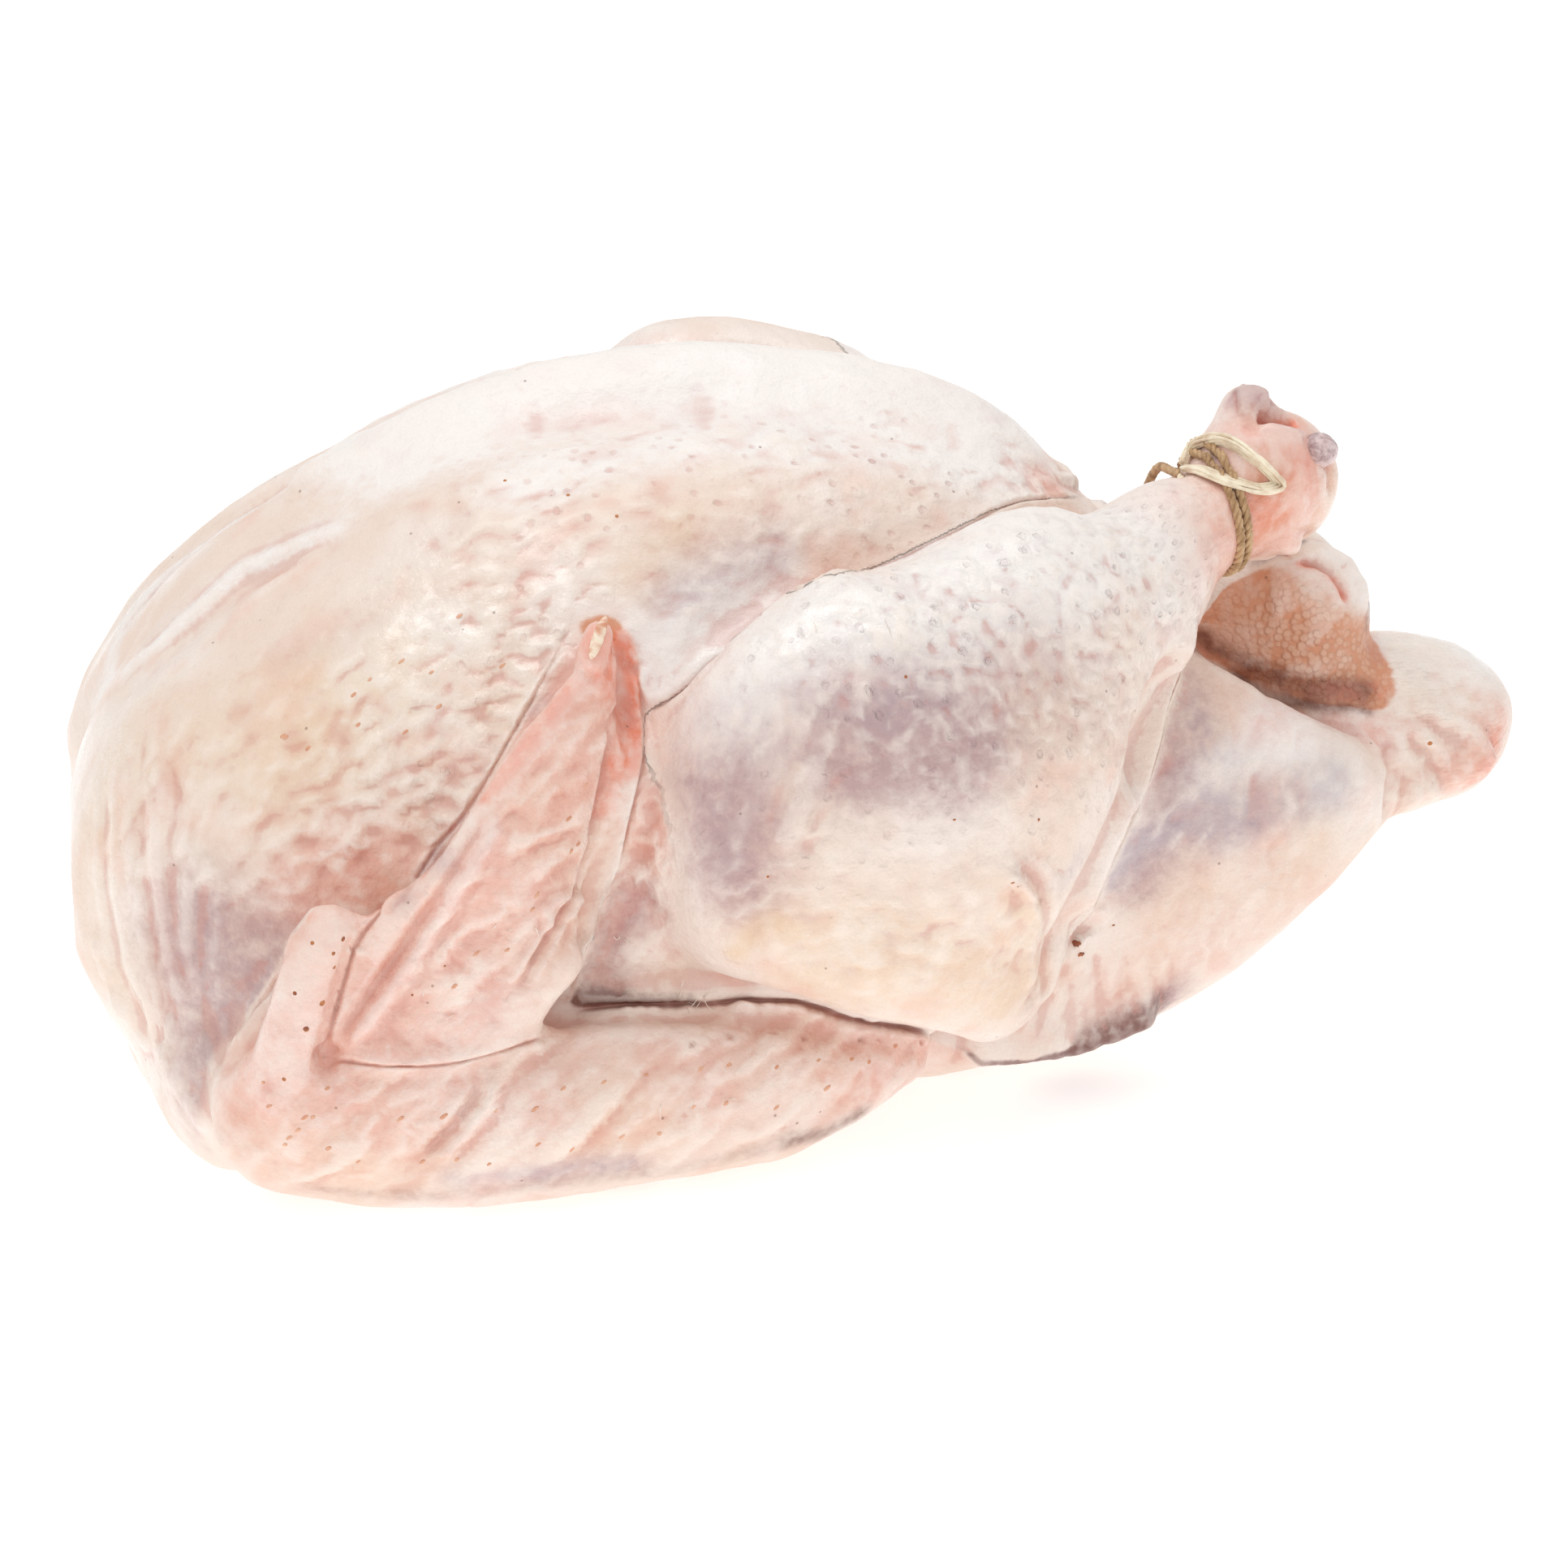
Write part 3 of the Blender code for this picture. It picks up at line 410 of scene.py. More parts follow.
        "between the hocks": (NEAR, 4, 0.8, [(1644, 652), (1600, 672), (1556, 696)]),
        "belly, rear": (NEAR, 5, 0.75, [(1290, 1292), (1340, 1282), (1390, 1264), (1416, 1250)]),
        "belly": (BOTH, 5.5, 0.8, [(1186, 1284), (1240, 1282), (1310, 1272), (1370, 1254), (1414, 1236)]),
        "wing pit": (BOTH, 5, 0.6, [(716, 1226), (760, 1222)]),
        "end of the elbow": (BOTH, 4, 0.5, [(1060, 1370), (1010, 1398), (980, 1404)]),
    },
    "slate": {
        "pelvis": (BOTH, 10, 0.8, [(1510, 1000), (1560, 990), (1610, 975), (1640, 965)]),
        "pelvis, low": (BOTH, 6, 0.9, [(1376, 1078), (1410, 1040), (1460, 1012), (1510, 1010)]),
        "pelvis, high": (BOTH, 8, 0.5, [(1460, 870), (1490, 900)]),
        "leg edge": (BOTH, 6, 0.1, [(1420, 860), (1392, 940), (1366, 1010)]),
        "leg low": (BOTH, 6, 0.5, [(1260, 1070), (1310, 1090), (1330, 1060)]),
        "thigh": (BOTH, 12, 0.4, [(1080, 880), (1140, 850)]),
        "thigh, front": (BOTH, 9, 0.4, [(880, 1000), (900, 1060)]),
        "above the drumstick": (BOTH, 9, 0.25, [(850, 720), (890, 700), (950, 672)]),
        "breast front": (BOTH, 10, 0.35, [(350, 800), (400, 790), (450, 770)]),
        "breast middle": (BOTH, 9, 0.25, [(560, 640), (640, 690)]),
        "neck": (BOTH, 12, 0.5, [(250, 1150), (290, 1220), (270, 1300)]),
        "forearm": (BOTH, 5, 0.6, [(560, 1452), (680, 1444), (770, 1434)]),
        "flank": (BOTH, 5, 0.6, [(1230, 1296), (1330, 1290), (1430, 1250)]),
    },
    "wet": {
        "glossy spot": (BOTH, 12, 0.9, GLOSSY_SPOT),
        "breast": (BOTH, 14, 0.9, [(530, 740), (570, 790), (500, 850)]),
        "lower breast": (BOTH, 20, 0.6, [(480, 900), (560, 900), (640, 840)]),
        "palm": (BOTH, 12, 0.8, [(480, 1200), (560, 1260), (640, 1180)]),
        "flap": (BOTH, 6, 0.9, [(560, 1340), (590, 1350)]),
        "hocks": (NEAR, 16, 0.7, [(1600, 560), (1630, 640)]),
        "leg": (BOTH, 26, 0.5, [(960, 860), (1080, 780), (1240, 740)]),
        "tail": (BOTH, 14, 0.5, [(1760, 860), (1800, 920)]),
        "long fold": (BOTH, 5, 0.9, [(170, 800), (260, 720), (400, 650)]),
    },
    "goose": {
        "drumstick": (BOTH, 34, 0.9, DRUMSTICK),
        "thigh": (BOTH, 34, 0.6, [(1050, 900), (1180, 880), (1300, 880)]),
        "lower breast": (BOTH, 22, 0.8, [(560, 980), (640, 900), (700, 830)]),
        "lower breast, front": (BOTH, 24, 0.5, [(420, 1000), (520, 940), (600, 860)]),
        "tail": (BOTH, 18, 0.3, TAIL_SIDE),
        "breast end": (BOTH, 20, 0.5, [(1060, 610), (1180, 600), (1260, 610)]),
    },
    "pores": {
        "breast": (BOTH, 26, 1.0, [(700, 610), (820, 580), (960, 570), (1080, 580)]),
        "drumstick": (BOTH, 34, 0.8, DRUMSTICK),
        "thigh": (BOTH, 40, 0.5, [(950, 1000), (1120, 1000), (1260, 1000)]),
        "breast, front": (BOTH, 40, 0.3, [(250, 900), (400, 800), (600, 720)]),
        "tail": (BOTH, 18, 0.2, TAIL_SIDE),
        "hand": (BOTH, 20, 0.3, [(560, 1150), (640, 1080), (690, 960)]),
    },
    "pebbles": {
        "far hock": (NEAR, 15, 1.0, [(1570, 770), (1610, 790), (1660, 830)]),
    },
    "crinkle": {
        "above the drumstick": (BOTH, 16, 0.2, [(830, 740), (880, 710), (960, 680)]),
        "above the drumstick, right": (BOTH, 14, 0.3, [(960, 660), (1080, 640), (1180, 620)]),
        "neck": (BOTH, 24, 0.35, [(200, 1040), (220, 1180), (250, 1300)]),
        "lower breast": (BOTH, 30, 0.6, [(430, 1060), (540, 980), (640, 880)]),
        "wing pit": (BOTH, 14, 0.9, [(800, 1000), (790, 1100), (770, 1180)]),
        "hand": (BOTH, 24, 0.7, [(470, 1240), (600, 1120), (690, 950)]),
        "forearm": (BOTH, 28, 0.6, [(340, 1380), (600, 1390), (900, 1340), (1080, 1300)]),
        "thigh folds": (BOTH, 18, 0.8, [(1240, 1180), (1320, 1220), (1400, 1220)]),
        "pelvis": (BOTH, 30, 0.4, [(1440, 1120), (1560, 1060), (1640, 980)]),
        "tail root": (BOTH, 14, 0.8, [(1710, 940), (1740, 1000)]),
        "near hock": (NEAR, 18, 0.5, [(1560, 560), (1600, 620)]),
        "far hock": (NEAR, 18, 0.5, [(1530, 730), (1600, 760)]),
    },
}
PAINT_SETS = {
    "shades": ("rose", "violet", "ochre"),
    "edges": ("coral", "pale", "tan"),
    "pits": ("goose", "pores", "pebbles"),
    "limbs": ("crinkle", "wing", "leg"),
    "shade": ("dark", "wet", "slate"),
}

# ---- outlines of the near wing and the near leg, which the far side mirrors ----
WING_OUTLINE = [
    (262, 1290), (250, 1400), (300, 1470), (400, 1500), (600, 1500), (900, 1470), (1100, 1390),
    (1210, 1300), (1170, 1284), (1100, 1264), (1000, 1238), (860, 1230), (760, 1236), (704, 1240),
    (728, 1170), (755, 1095), (770, 1020), (790, 930), (797, 860), (790, 800), (764, 748), (708, 752),
    (684, 834), (644, 894), (584, 974), (534, 1044), (474, 1124), (440, 1148), (432, 1124), (414, 1112),
    (398, 1112), (384, 1124), (352, 1170), (308, 1246), (282, 1284),
]
LEG_OUTLINE = [
    (795, 885), (860, 836), (900, 796), (960, 741), (1000, 720), (1080, 696), (1160, 656), (1214, 630),
    (1262, 618), (1310, 614), (1370, 608), (1440, 560), (1500, 460), (1600, 460), (1690, 530),
    (1690, 620), (1645, 674), (1560, 694), (1512, 722), (1456, 800), (1448, 850), (1420, 950),
    (1394, 1020), (1360, 1100), (1334, 1150), (1344, 1210), (1312, 1268), (1250, 1282), (1170, 1286),
    (1100, 1266), (1000, 1240), (860, 1232), (838, 1160), (832, 1060), (816, 980), (792, 920),
]

FAR_HOCK_OUTLINE = [
    (1452, 800), (1470, 760), (1512, 722), (1560, 694), (1645, 655), (1700, 700), (1700, 800),
    (1720, 850), (1706, 874), (1640, 868), (1560, 848), (1500, 814),
]

# ---- traces of plucking. Pores and scabs: a mark and a size in millimetres. Follicles: a guide, their
# number and their spread in frame pixels. Hairs: a mark, spread, length in millimetres and number ----
PORES = [
    ((423, 1157), 0.6), ((385, 1162), 0.45), ((411, 1175), 0.5), ((412, 1192), 0.45),
    ((397, 1236), 0.75), ((377, 1268), 0.7), ((363, 1224), 0.5), ((350, 1330), 0.5), ((700, 610), 0.5),
    ((760, 636), 0.45), ((622, 592), 0.4), ((1116, 834), 0.4), ((1762, 916), 0.6), ((946, 1080), 0.35),
    ((548, 1190), 0.3), ((508, 1226), 0.3), ((1280, 1010), 0.4),
]
FOLLICLE_LINES = [
    ([(330, 1400), (480, 1440), (640, 1420), (800, 1390), (960, 1350), (1080, 1310)], 15, 16),
    ([(480, 1370), (640, 1360), (820, 1330), (1000, 1300), (1130, 1290)], 13, 12),
    ([(310, 1330), (370, 1400), (420, 1350)], 7, 22),
    ([(560, 1220), (640, 1150), (700, 1040), (720, 940)], 9, 18),
    ([(330, 900), (480, 860), (620, 780)], 12, 60),
]
SCABS = [
    ((1325, 1163), 1.3), ((1332, 1176), 0.9), ((1372, 1140), 0.4), ((1248, 1088), 0.5), ((1176, 1010), 0.4),
]
HAIRS = [
    ((1090, 762), 2, 9.0, 1), ((845, 1236), 24, 5.0, 8), ((640, 1150), 40, 2.5, 3),
    ((560, 1240), 40, 2.5, 2), ((900, 1330), 90, 2.5, 4), ((1010, 780), 10, 4.0, 1),
    ((760, 1160), 14, 3.5, 4),
]
HAIR_LIFT = 0.12 * MM
HAIR_RADII = [0.11 * MM, 0.1 * MM, 0.09 * MM, 0.07 * MM, 0.04 * MM]

# ---- the legs' middles, from knee to ankle, and the sizes that the feather rows wrap round ----
NEAR_SHIN = (MIDDLE + Vector((-0.006, -0.082, 0.093)), MIDDLE + Vector((0.103, -0.028, 0.141)))
FAR_SHIN = (MIDDLE + Vector((-0.016, 0.084, 0.106)), MIDDLE + Vector((0.116, 0.020, 0.105)))
LEG_RADIUS = 0.036
BREAST_RADIUS = 0.092
BREAST_AXIS_HEIGHT = 0.08
BREAST_ROWS_TILT = 28.0

# ---- twine: its route, as on the solids ----
CM = 0.01
TIE_CENTRE = (10.4, -2.6, 14.3)
TIE_AXIS = Vector((0.95, 0.27, 0.14)).normalized()
TIE_TURNS = (-0.13, 0.13)
TIE_STEPS = 72
WALL_LIFT = 0.2 * MM
THICKEST_TIE = 4 * MM
TWINE_STEP = 0.5 * MM
BOW = (
    (1462, 578), (1474, 556), (1498, 546), (1524, 552), (1548, 570), (1568, 588), (1572, 597),
    (1550, 602), (1514, 596), (1482, 588), (1460, 582),
)
BOW_LIFT = 1.6 * MM
LEAD_STEP = 1.0 * MM
LEAD_EVENING = 3
LEAD_RADIUS = 1.1 * MM
LEAD = (
    (9.5, -2.8, 15.2), (9.4, -0.9, 14.9), (9.5, 1.2, 13.5),
    (9.8, 3.2, 12.4), (10.2, 4.8, 11.4), (10.4, 5.6, 10.4),
)
KNOT = (9.5, -3.0, 15.2)
KNOT_TURNS = 3
KNOT_STEPS = 24
KNOT_AXIS = (0.3, 1, 0.2)
BOW_STRANDS = 11
BOW_SPREAD = 1.9 * MM
FIBRE_LENGTH = 3.0 * MM
BOW_FIBRE_LENGTH = 4.0 * MM

# ---- joints: marks, and half-axes in millimetres to the right, up the frame and out of the skin ----
GRISTLE_MARK = (1618, 550)
GRISTLE_AXES = (4.6, 4.4, 4.0)
GRISTLE_SHIFT = 2.6 * MM
BONE_MARK = (737, 786)
BONE_AXES = (1.5, 5.2, 1.3)
BONE_LIFT = 0.3 * MM
BONE_LEAN = 0.3

# ---- heights of the skin's unevenness and the waves in a metre of it: swell, lumps and grain ----
SWELLS_PER_METRE = 46.0
LUMPS_PER_METRE = 150.0
GRAINS_PER_METRE = 420.0
GRAIN_HEIGHT = 0.16 * MM

# ---- light: name, place, size and the setting that gives its power; then the camera's clipping ----
LAMPS = (
    ("overhead", Vector((0.1, 0.1, 1.1)), 0.7, "lamp"),
    ("front", Vector((-0.5, -1.1, 0.6)), 0.8, "fill"),
    ("key", Vector((-0.3, 0.0, 0.95)), 0.2, "key"),
)
LAMP_AIM = Vector((0, 0, 0.07))
FLOOR_GAP = 0.2 * MM
CLIP = (0.05, 30.0)


def tone(red, green, blue):
    """A colour given in display steps of 0 to 255, as the linear one that shaders and properties take."""
    steps = (red / 255, green / 255, blue / 255)
    return tuple(s / 12.92 if s <= 0.04045 else ((s + 0.055) / 1.055) ** 2.4 for s in steps)


def colour_property(name, description, shade):
    return bpy.props.FloatVectorProperty(
        name=name, description=description, subtype="COLOR", size=3, min=0.0, max=1.0, default=tone(*shade)
    )


def size_property(name, description, default):
    return bpy.props.FloatProperty(name=name, description=description, default=default, unit="LENGTH")


def power_property(name, description, default, unit="POWER"):
    return bpy.props.FloatProperty(name=name, description=description, default=default, unit=unit)


class SkinSettings(bpy.types.PropertyGroup):
    """Sizes and colours of the skin."""

    fineness: size_property("Fineness", "Edge of a voxel of the skin's mesh", 1.55 * MM)
    softness: bpy.props.IntProperty(
        name="Softness", description="Rounds of smoothing of the flesh", default=15, min=0
    )
    triangles: bpy.props.IntProperty(
        name="Triangles", description="Most triangles that the skin may have", default=164000, min=1000
    )
    fold_reach: size_property("Fold reach", "How far a fold's finer mesh goes", 3.6 * MM)
    swell: size_property("Swell", "Height of the flesh's slow unevenness", 0.5 * MM)
    lump: size_property("Lump", "Height of the small lumps of fat", 0.28 * MM)
    row_spacing: size_property("Row spacing", "Distance between two feather pits", 5.6 * MM)
    cream: colour_property("Cream", "Skin over fat", (238, 216, 200))
    milk: colour_property("Milk", "Palest skin, on the keel and the top of the leg", (249, 244, 240))
    rose: colour_property("Rose", "Skin with blood under it", (238, 172, 150))
    violet: colour_property("Violet", "Thin skin over dark meat", (176, 138, 140))
    slate: colour_property("Slate", "Thin skin over the bluest meat", (168, 162, 178))
    ochre: colour_property("Ochre", "Yellow fat", (232, 196, 140))
    coral: colour_property("Coral", "Raw edges", (236, 124, 86))
    tan: colour_property("Tan", "Dried skin at the ankles", (216, 142, 100))
    # painted shade: the colour laid into deep creases, clefts and holes, where shade falls
    blood: colour_property("Blood", "Deep creases", (164, 88, 72))


class TwineSettings(bpy.types.PropertyGroup):
    """Sizes and colours of the twine."""

    ply: size_property("Ply", "Radius of one ply", 0.62 * MM)
    pitch: size_property("Pitch", "Length of one twist", 7.0 * MM)
    fibres: bpy.props.IntProperty(name="Fibres", description="Loose fibres on the twine", default=90, min=0)
    tan: colour_property("Tan", "Wet twine", (204, 168, 126))
    cream: colour_property("Cream", "Dry twine of the bow", (252, 242, 218))


class StageSettings(bpy.types.PropertyGroup):
    """The table and the light."""

    floor: colour_property("Floor", "Colour of the table", (250, 250, 250))
    floor_size: size_property("Floor size", "Side of the table", 8.0)
    sky: power_property("Sky", "Strength of the light from all round", 0.74, unit="NONE")
    glow: power_property("Glow", "Light that the table gives off", 0.42, unit="NONE")
    lamp: power_property("Lamp", "Power of the broad lamp overhead", 1.9)
    fill: power_property("Fill", "Power of the lamp in front", 0.8)
    key: power_property("Key", "Power of the small bright lamp", 1.0)


# ---------------------------------------------------------------- lines of sight


def view_axes():
    """The view's directions to the right, up and back towards the eye."""
    a, e = math.radians(VIEW_AZIMUTH), math.radians(VIEW_ELEVATION)
    back = Vector((math.sin(a) * math.cos(e), -math.cos(a) * math.cos(e), math.sin(e)))
    right = Vector((math.cos(a), math.sin(a), 0))
    return right, back.cross(right), back


def frame_scale():
    """Frame pixels in a metre at a distance of a metre."""
    return LENS / SENSOR * FRAME_SIDE


def sight(mark):
    """The eye and the direction of the line of sight through a mark."""
    right, up, back = view_axes()
    half = FRAME_SIDE / 2
    way = right * ((mark[0] - half) / frame_scale()) - up * ((mark[1] - half) / frame_scale()) - back
    return VIEW_TARGET + back * VIEW_DISTANCE, way.normalized()


def marks_of(places):
    """Where places on the object lie in the view's frame."""
    right, up, back = (np.array(axis) for axis in view_axes())
    eye = np.array(VIEW_TARGET) + back * VIEW_DISTANCE
    reach = places - eye
    depth = -(reach @ back)
    half = FRAME_SIDE / 2
    across = half + frame_scale() * (reach @ right) / depth
    down = half - frame_scale() * (reach @ up) / depth
    return np.stack((across, down), axis=1)


def inside(outline, marks):
    """Which marks lie inside a closed outline, counting the sides that a level line crosses."""
    found = np.zeros(len(marks), dtype=bool)
    x, y = marks[:, 0], marks[:, 1]
    for (x0, y0), (x1, y1) in zip(outline, outline[1:] + outline[:1]):
        if y0 == y1:
            continue
        crosses = (y0 > y) != (y1 > y)
        found ^= crosses & (x < (x1 - x0) * (y - y0) / (y1 - y0) + x0)
    return found


def surface_of(mesh):
    """The mesh's faces, for finding what a line meets and what lies nearest."""
    return BVHTree.FromPolygons([v.co for v in mesh.vertices], [tuple(p.vertices) for p in mesh.polygons])


def mirrored(place):
    """The place on the far side that answers to one on the near side."""
    return Vector((place[0], 2 * MIDDLE.y - place[1], place[2]))


def smooth_step(low, high, value):
    """A smooth rise from 0 to 1 between two values."""
    share = np.clip((value - low) / (high - low), 0, 1)
    return share * share * (3 - 2 * share)


# ---------------------------------------------------------------- the skin's mesh

SIGHT_LIFT = 0.6 * MM  # how far off the skin a line of sight starts
SEEN_SPREAD = 9  # rounds by which the seen skin reaches past its edge
HIDDEN_BELOW = 0.01
FOLD_STEP = 10  # frame pixels between two places on a fold
NEARLY_WHOLE = 0.999  # keeps the last place on its guide
CAVITY_SPREAD = 6
CAVITY_DEPTH = 0.35 * MM


def baked(obj):
    """The object's mesh with its modifiers applied."""
    bpy.context.view_layer.update()
    graph = bpy.context.evaluated_depsgraph_get()
    made = bpy.data.meshes.new_from_object(obj.evaluated_get(graph))
    obj.modifiers.clear()
    obj.data = made


def placed(name, mesh):
    """A new object in the scene."""
    obj = bpy.data.objects.new(name, mesh)
    bpy.context.scene.collection.objects.link(obj)
    return obj


def seen_from_the_front(mesh):
    """For each point, 1 where nothing stands between it and the eye."""
    tree = surface_of(mesh)
    eye = sight((FRAME_SIDE / 2, FRAME_SIDE / 2))[0]
    seen = np.zeros(len(mesh.vertices), dtype=np.float32)
    for i, vertex in enumerate(mesh.vertices):
        way = eye - vertex.co
        if way.dot(vertex.normal) < 0:
            continue
        start = vertex.co + vertex.normal * SIGHT_LIFT
        if tree.ray_cast(start, way.normalized())[0] is None:
            seen[i] = 1.0
    return seen


def spread_over_edges(mesh, values, rounds):
    """Evens a value out between neighbouring points."""
    edges = np.empty(len(mesh.edges) * 2, dtype=np.int64)
    mesh.edges.foreach_get("vertices", edges)
    edges = edges.reshape(-1, 2)
    count = np.bincount(edges.ravel(), minlength=len(values)) + 1.0
    for _ in range(rounds):
        total = values.astype(np.float64).copy()
        total += np.bincount(edges[:, 0], weights=values[edges[:, 1]], minlength=len(values))
        total += np.bincount(edges[:, 1], weights=values[edges[:, 0]], minlength=len(values))
        values = total / count
    return values


def halve_edges_near(mesh, spots, reach):
    """Splits the triangles near any of the spots, where the skin has its sharpest folds."""
    tree = KDTree(len(spots))
    for i, spot in enumerate(spots):
        tree.insert(spot, i)
    tree.balance()
    work = bmesh.new()
    work.from_mesh(mesh)
    near = {vertex for vertex in work.verts if tree.find(vertex.co)[2] < reach}
    edges = [edge for edge in work.edges if edge.verts[0] in near and edge.verts[1] in near]
    bmesh.ops.subdivide_edges(work, edges=edges, cuts=1, use_grid_fill=True)
    bmesh.ops.triangulate(work, faces=work.faces[:])
    work.to_mesh(mesh)
    work.free()


def fold_spots(mesh):
    """Places on the skin along the clefts and the finer folds that face the front."""
    tree = surface_of(mesh)
    guides = [cleft[-1] for cleft in CLEFTS.values()]
    guides += [RELIEF[name][-1] for name in FINE_FOLDS]
    spots = []
    for marks in guides:
        length = sum(math.dist(a, b) for a, b in zip(marks, marks[1:]))
        count = round(length / FOLD_STEP)
        for i in range(count + 1):
            found = tree.ray_cast(*sight(along_guide(marks, i / count * NEARLY_WHOLE)))[0]
            if found is not None:
                spots.append(found)
    return spots


def skin_object(settings):
    """A closed skin over the solid, finest where it faces the front."""
    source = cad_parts["bird"]
    obj = placed("bird_skin", source.data.copy())
    remesh = obj.modifiers.new("one_skin", "REMESH")
    remesh.mode = "VOXEL"
    remesh.voxel_size = settings.fineness
    smooth = obj.modifiers.new("soft_flesh", "SMOOTH")
    smooth.factor = 0.6
    smooth.iterations = settings.softness
    obj.modifiers.new("triangles", "TRIANGULATE")
    baked(obj)
    seen = spread_over_edges(obj.data, seen_from_the_front(obj.data), SEEN_SPREAD)
    group = obj.vertex_groups.new(name="hidden")
    hidden = np.nonzero(seen < HIDDEN_BELOW)[0]
    group.add([int(i) for i in hidden], 1.0, "REPLACE")
    thinner = obj.modifiers.new("fewer_where_hidden", "DECIMATE")
    thinner.vertex_group = "hidden"
    thinner.ratio = min(1.0, settings.triangles / len(obj.data.polygons))
    baked(obj)
    obj.vertex_groups.clear()
    halve_edges_near(obj.data, fold_spots(obj.data), settings.fold_reach)
    obj.data.polygons.foreach_set("use_smooth", [True] * len(obj.data.polygons))
    return obj


class Skin:
    """The points of the skin, pressed and painted along lines drawn on it."""

    fine_step = 12.0  # frame pixels between two places on a line
    longest_jump = 9 * MM  # a line that jumps further is broken there
    far_off = 1.0
    limb_edge = 2  # rounds by which a limb's edge is softened
    hock_from = 0.1  # the far hock lies beyond this length
    lip = 0.3  # height of the lips beside a crease, as a share of its depth
    lip_place, lip_width = 2.0, 0.7  # in widths of the crease
    relief_reach = 3.2
    narrow_crease = 2.2  # a crease wider than this many millimetres is shaded less
    valley_reach = 5 * MM
    valley_least = 0.1
    cleft_reach = 3.0
    pinch = 0.55  # how far a cleft draws its sides together
    lean = 0.5
    bend = 0.8
    crease_width = 0.16
    patch_reach = 1.9
    row_scatter = 5  # frame pixels
    least_weight = 0.04

    def __init__(self, mesh):
        self.mesh = mesh
        count = len(mesh.vertices)
        self.places = np.empty(count * 3)
        mesh.vertices.foreach_get("co", self.places)
        self.places = self.places.reshape(-1, 3)
        self.normals = np.array([tuple(v.normal) for v in mesh.vertices])
        self.tree = surface_of(mesh)
        self.rise = np.zeros(count)
        self.shift = np.zeros((count, 3))
        self.concave = np.clip(cavity(mesh, self.places, self.normals), 0, 1)
        self.hollow = np.zeros(count)
        self.crease = np.zeros(count)
        self.masks = {}
        front = self.places.copy()
        front[:, 1] = MIDDLE.y - np.abs(front[:, 1] - MIDDLE.y)
        marks = marks_of(front)
        hock = inside(FAR_HOCK_OUTLINE, marks_of(self.places)) & (self.places[:, 0] > self.hock_from)
        limbs = (inside(WING_OUTLINE, marks), inside(LEG_OUTLINE, marks), hock)
        self.wing, self.leg, self.hock = (
            spread_over_edges(mesh, limb.astype(float), self.limb_edge) for limb in limbs
        )
        self.masks["wing"], self.masks["leg"] = self.wing, self.leg

    def hit(self, mark):
        """The place and the normal of the skin under a mark."""
        place, normal, _, _ = self.tree.ray_cast(*sight(mark))
        return None if place is None else (place, normal)

    def lines(self, side, marks, fine=True):
        """The line through the marks, laid on the skin, and its mirror image where both sides have it."""
        spots = []
        for start, end in zip(marks, marks[1:]):
            length = math.dist(start, end)
            steps = max(1, round(length / self.fine_step)) if fine else 1
            for i in range(steps):
                share = i / steps
                spots.append(tuple(a + (b - a) * share for a, b in zip(start, end)))
        spots.append(marks[-1])
        hits = [found for found in map(self.hit, spots) if found is not None]
        found = [hits] if len(hits) > 1 else []
        if side == BOTH and found:
            far = []
            for place, _ in hits:
                far.append(self.tree.find_nearest(mirrored(place))[:2])
            found.append(far)
        return [tuple(np.array([tuple(hit[k]) for hit in line]) for k in (0, 1)) for line in found]

    def near(self, line, normals, reach, jumps=False):
        """The points within reach of a line, their distance, place along it and how far they face it."""
        low, high = line.min(axis=0) - reach, line.max(axis=0) + reach
        picked = np.nonzero(((self.places > low) & (self.places < high)).all(axis=1))[0]
        places, facing_ways = self.places[picked], self.normals[picked]
        distance = np.full(len(picked), self.far_off)
        along, facing = np.zeros(len(picked)), np.zeros(len(picked))
        last = len(line) - 1
        for i in range(last):
            way = line[i + 1] - line[i]
            square = way @ way
            if square < 1e-12 or (not jumps and square > self.longest_jump**2):
                continue
            share = np.clip(((places - line[i]) @ way) / square, 0, 1)
            gap = np.linalg.norm(places - line[i] - share[:, None] * way, axis=1)
            closer = gap < distance
            distance[closer] = gap[closer]
            along[closer] = (i + share[closer]) / last
            facing[closer] = facing_ways[closer] @ normals[i]
        keep = distance < reach
        return picked[keep], distance[keep], along[keep], facing[keep]

    def press(self, side, width, depth, marks):
        """A ridge, or a crease between two faint lips, of a width and depth in millimetres."""
        for line, normals in self.lines(side, marks):
            width_m = width * MM
            picked, distance, along, facing = self.near(line, normals, self.relief_reach * width_m)
            if not len(picked):
                continue
            widths = distance / width_m
            shape = np.exp(-(widths**2))
            shape -= self.lip * np.exp(-(((widths - self.lip_place) / self.lip_width) ** 2))
            shape *= fade_at_ends(along, 0.16) * smooth_step(-0.1, 0.5, facing)
            self.rise[picked] += depth * MM * shape
            # the crease's depth is kept as hollow, which the material paints as shade
            if depth < 0:
                narrow = min(1.0, (self.narrow_crease / width) ** 2)
                shade = -depth * narrow * np.clip(shape, 0, 1) ** 2
                self.hollow[picked] = np.maximum(self.hollow[picked], shade)

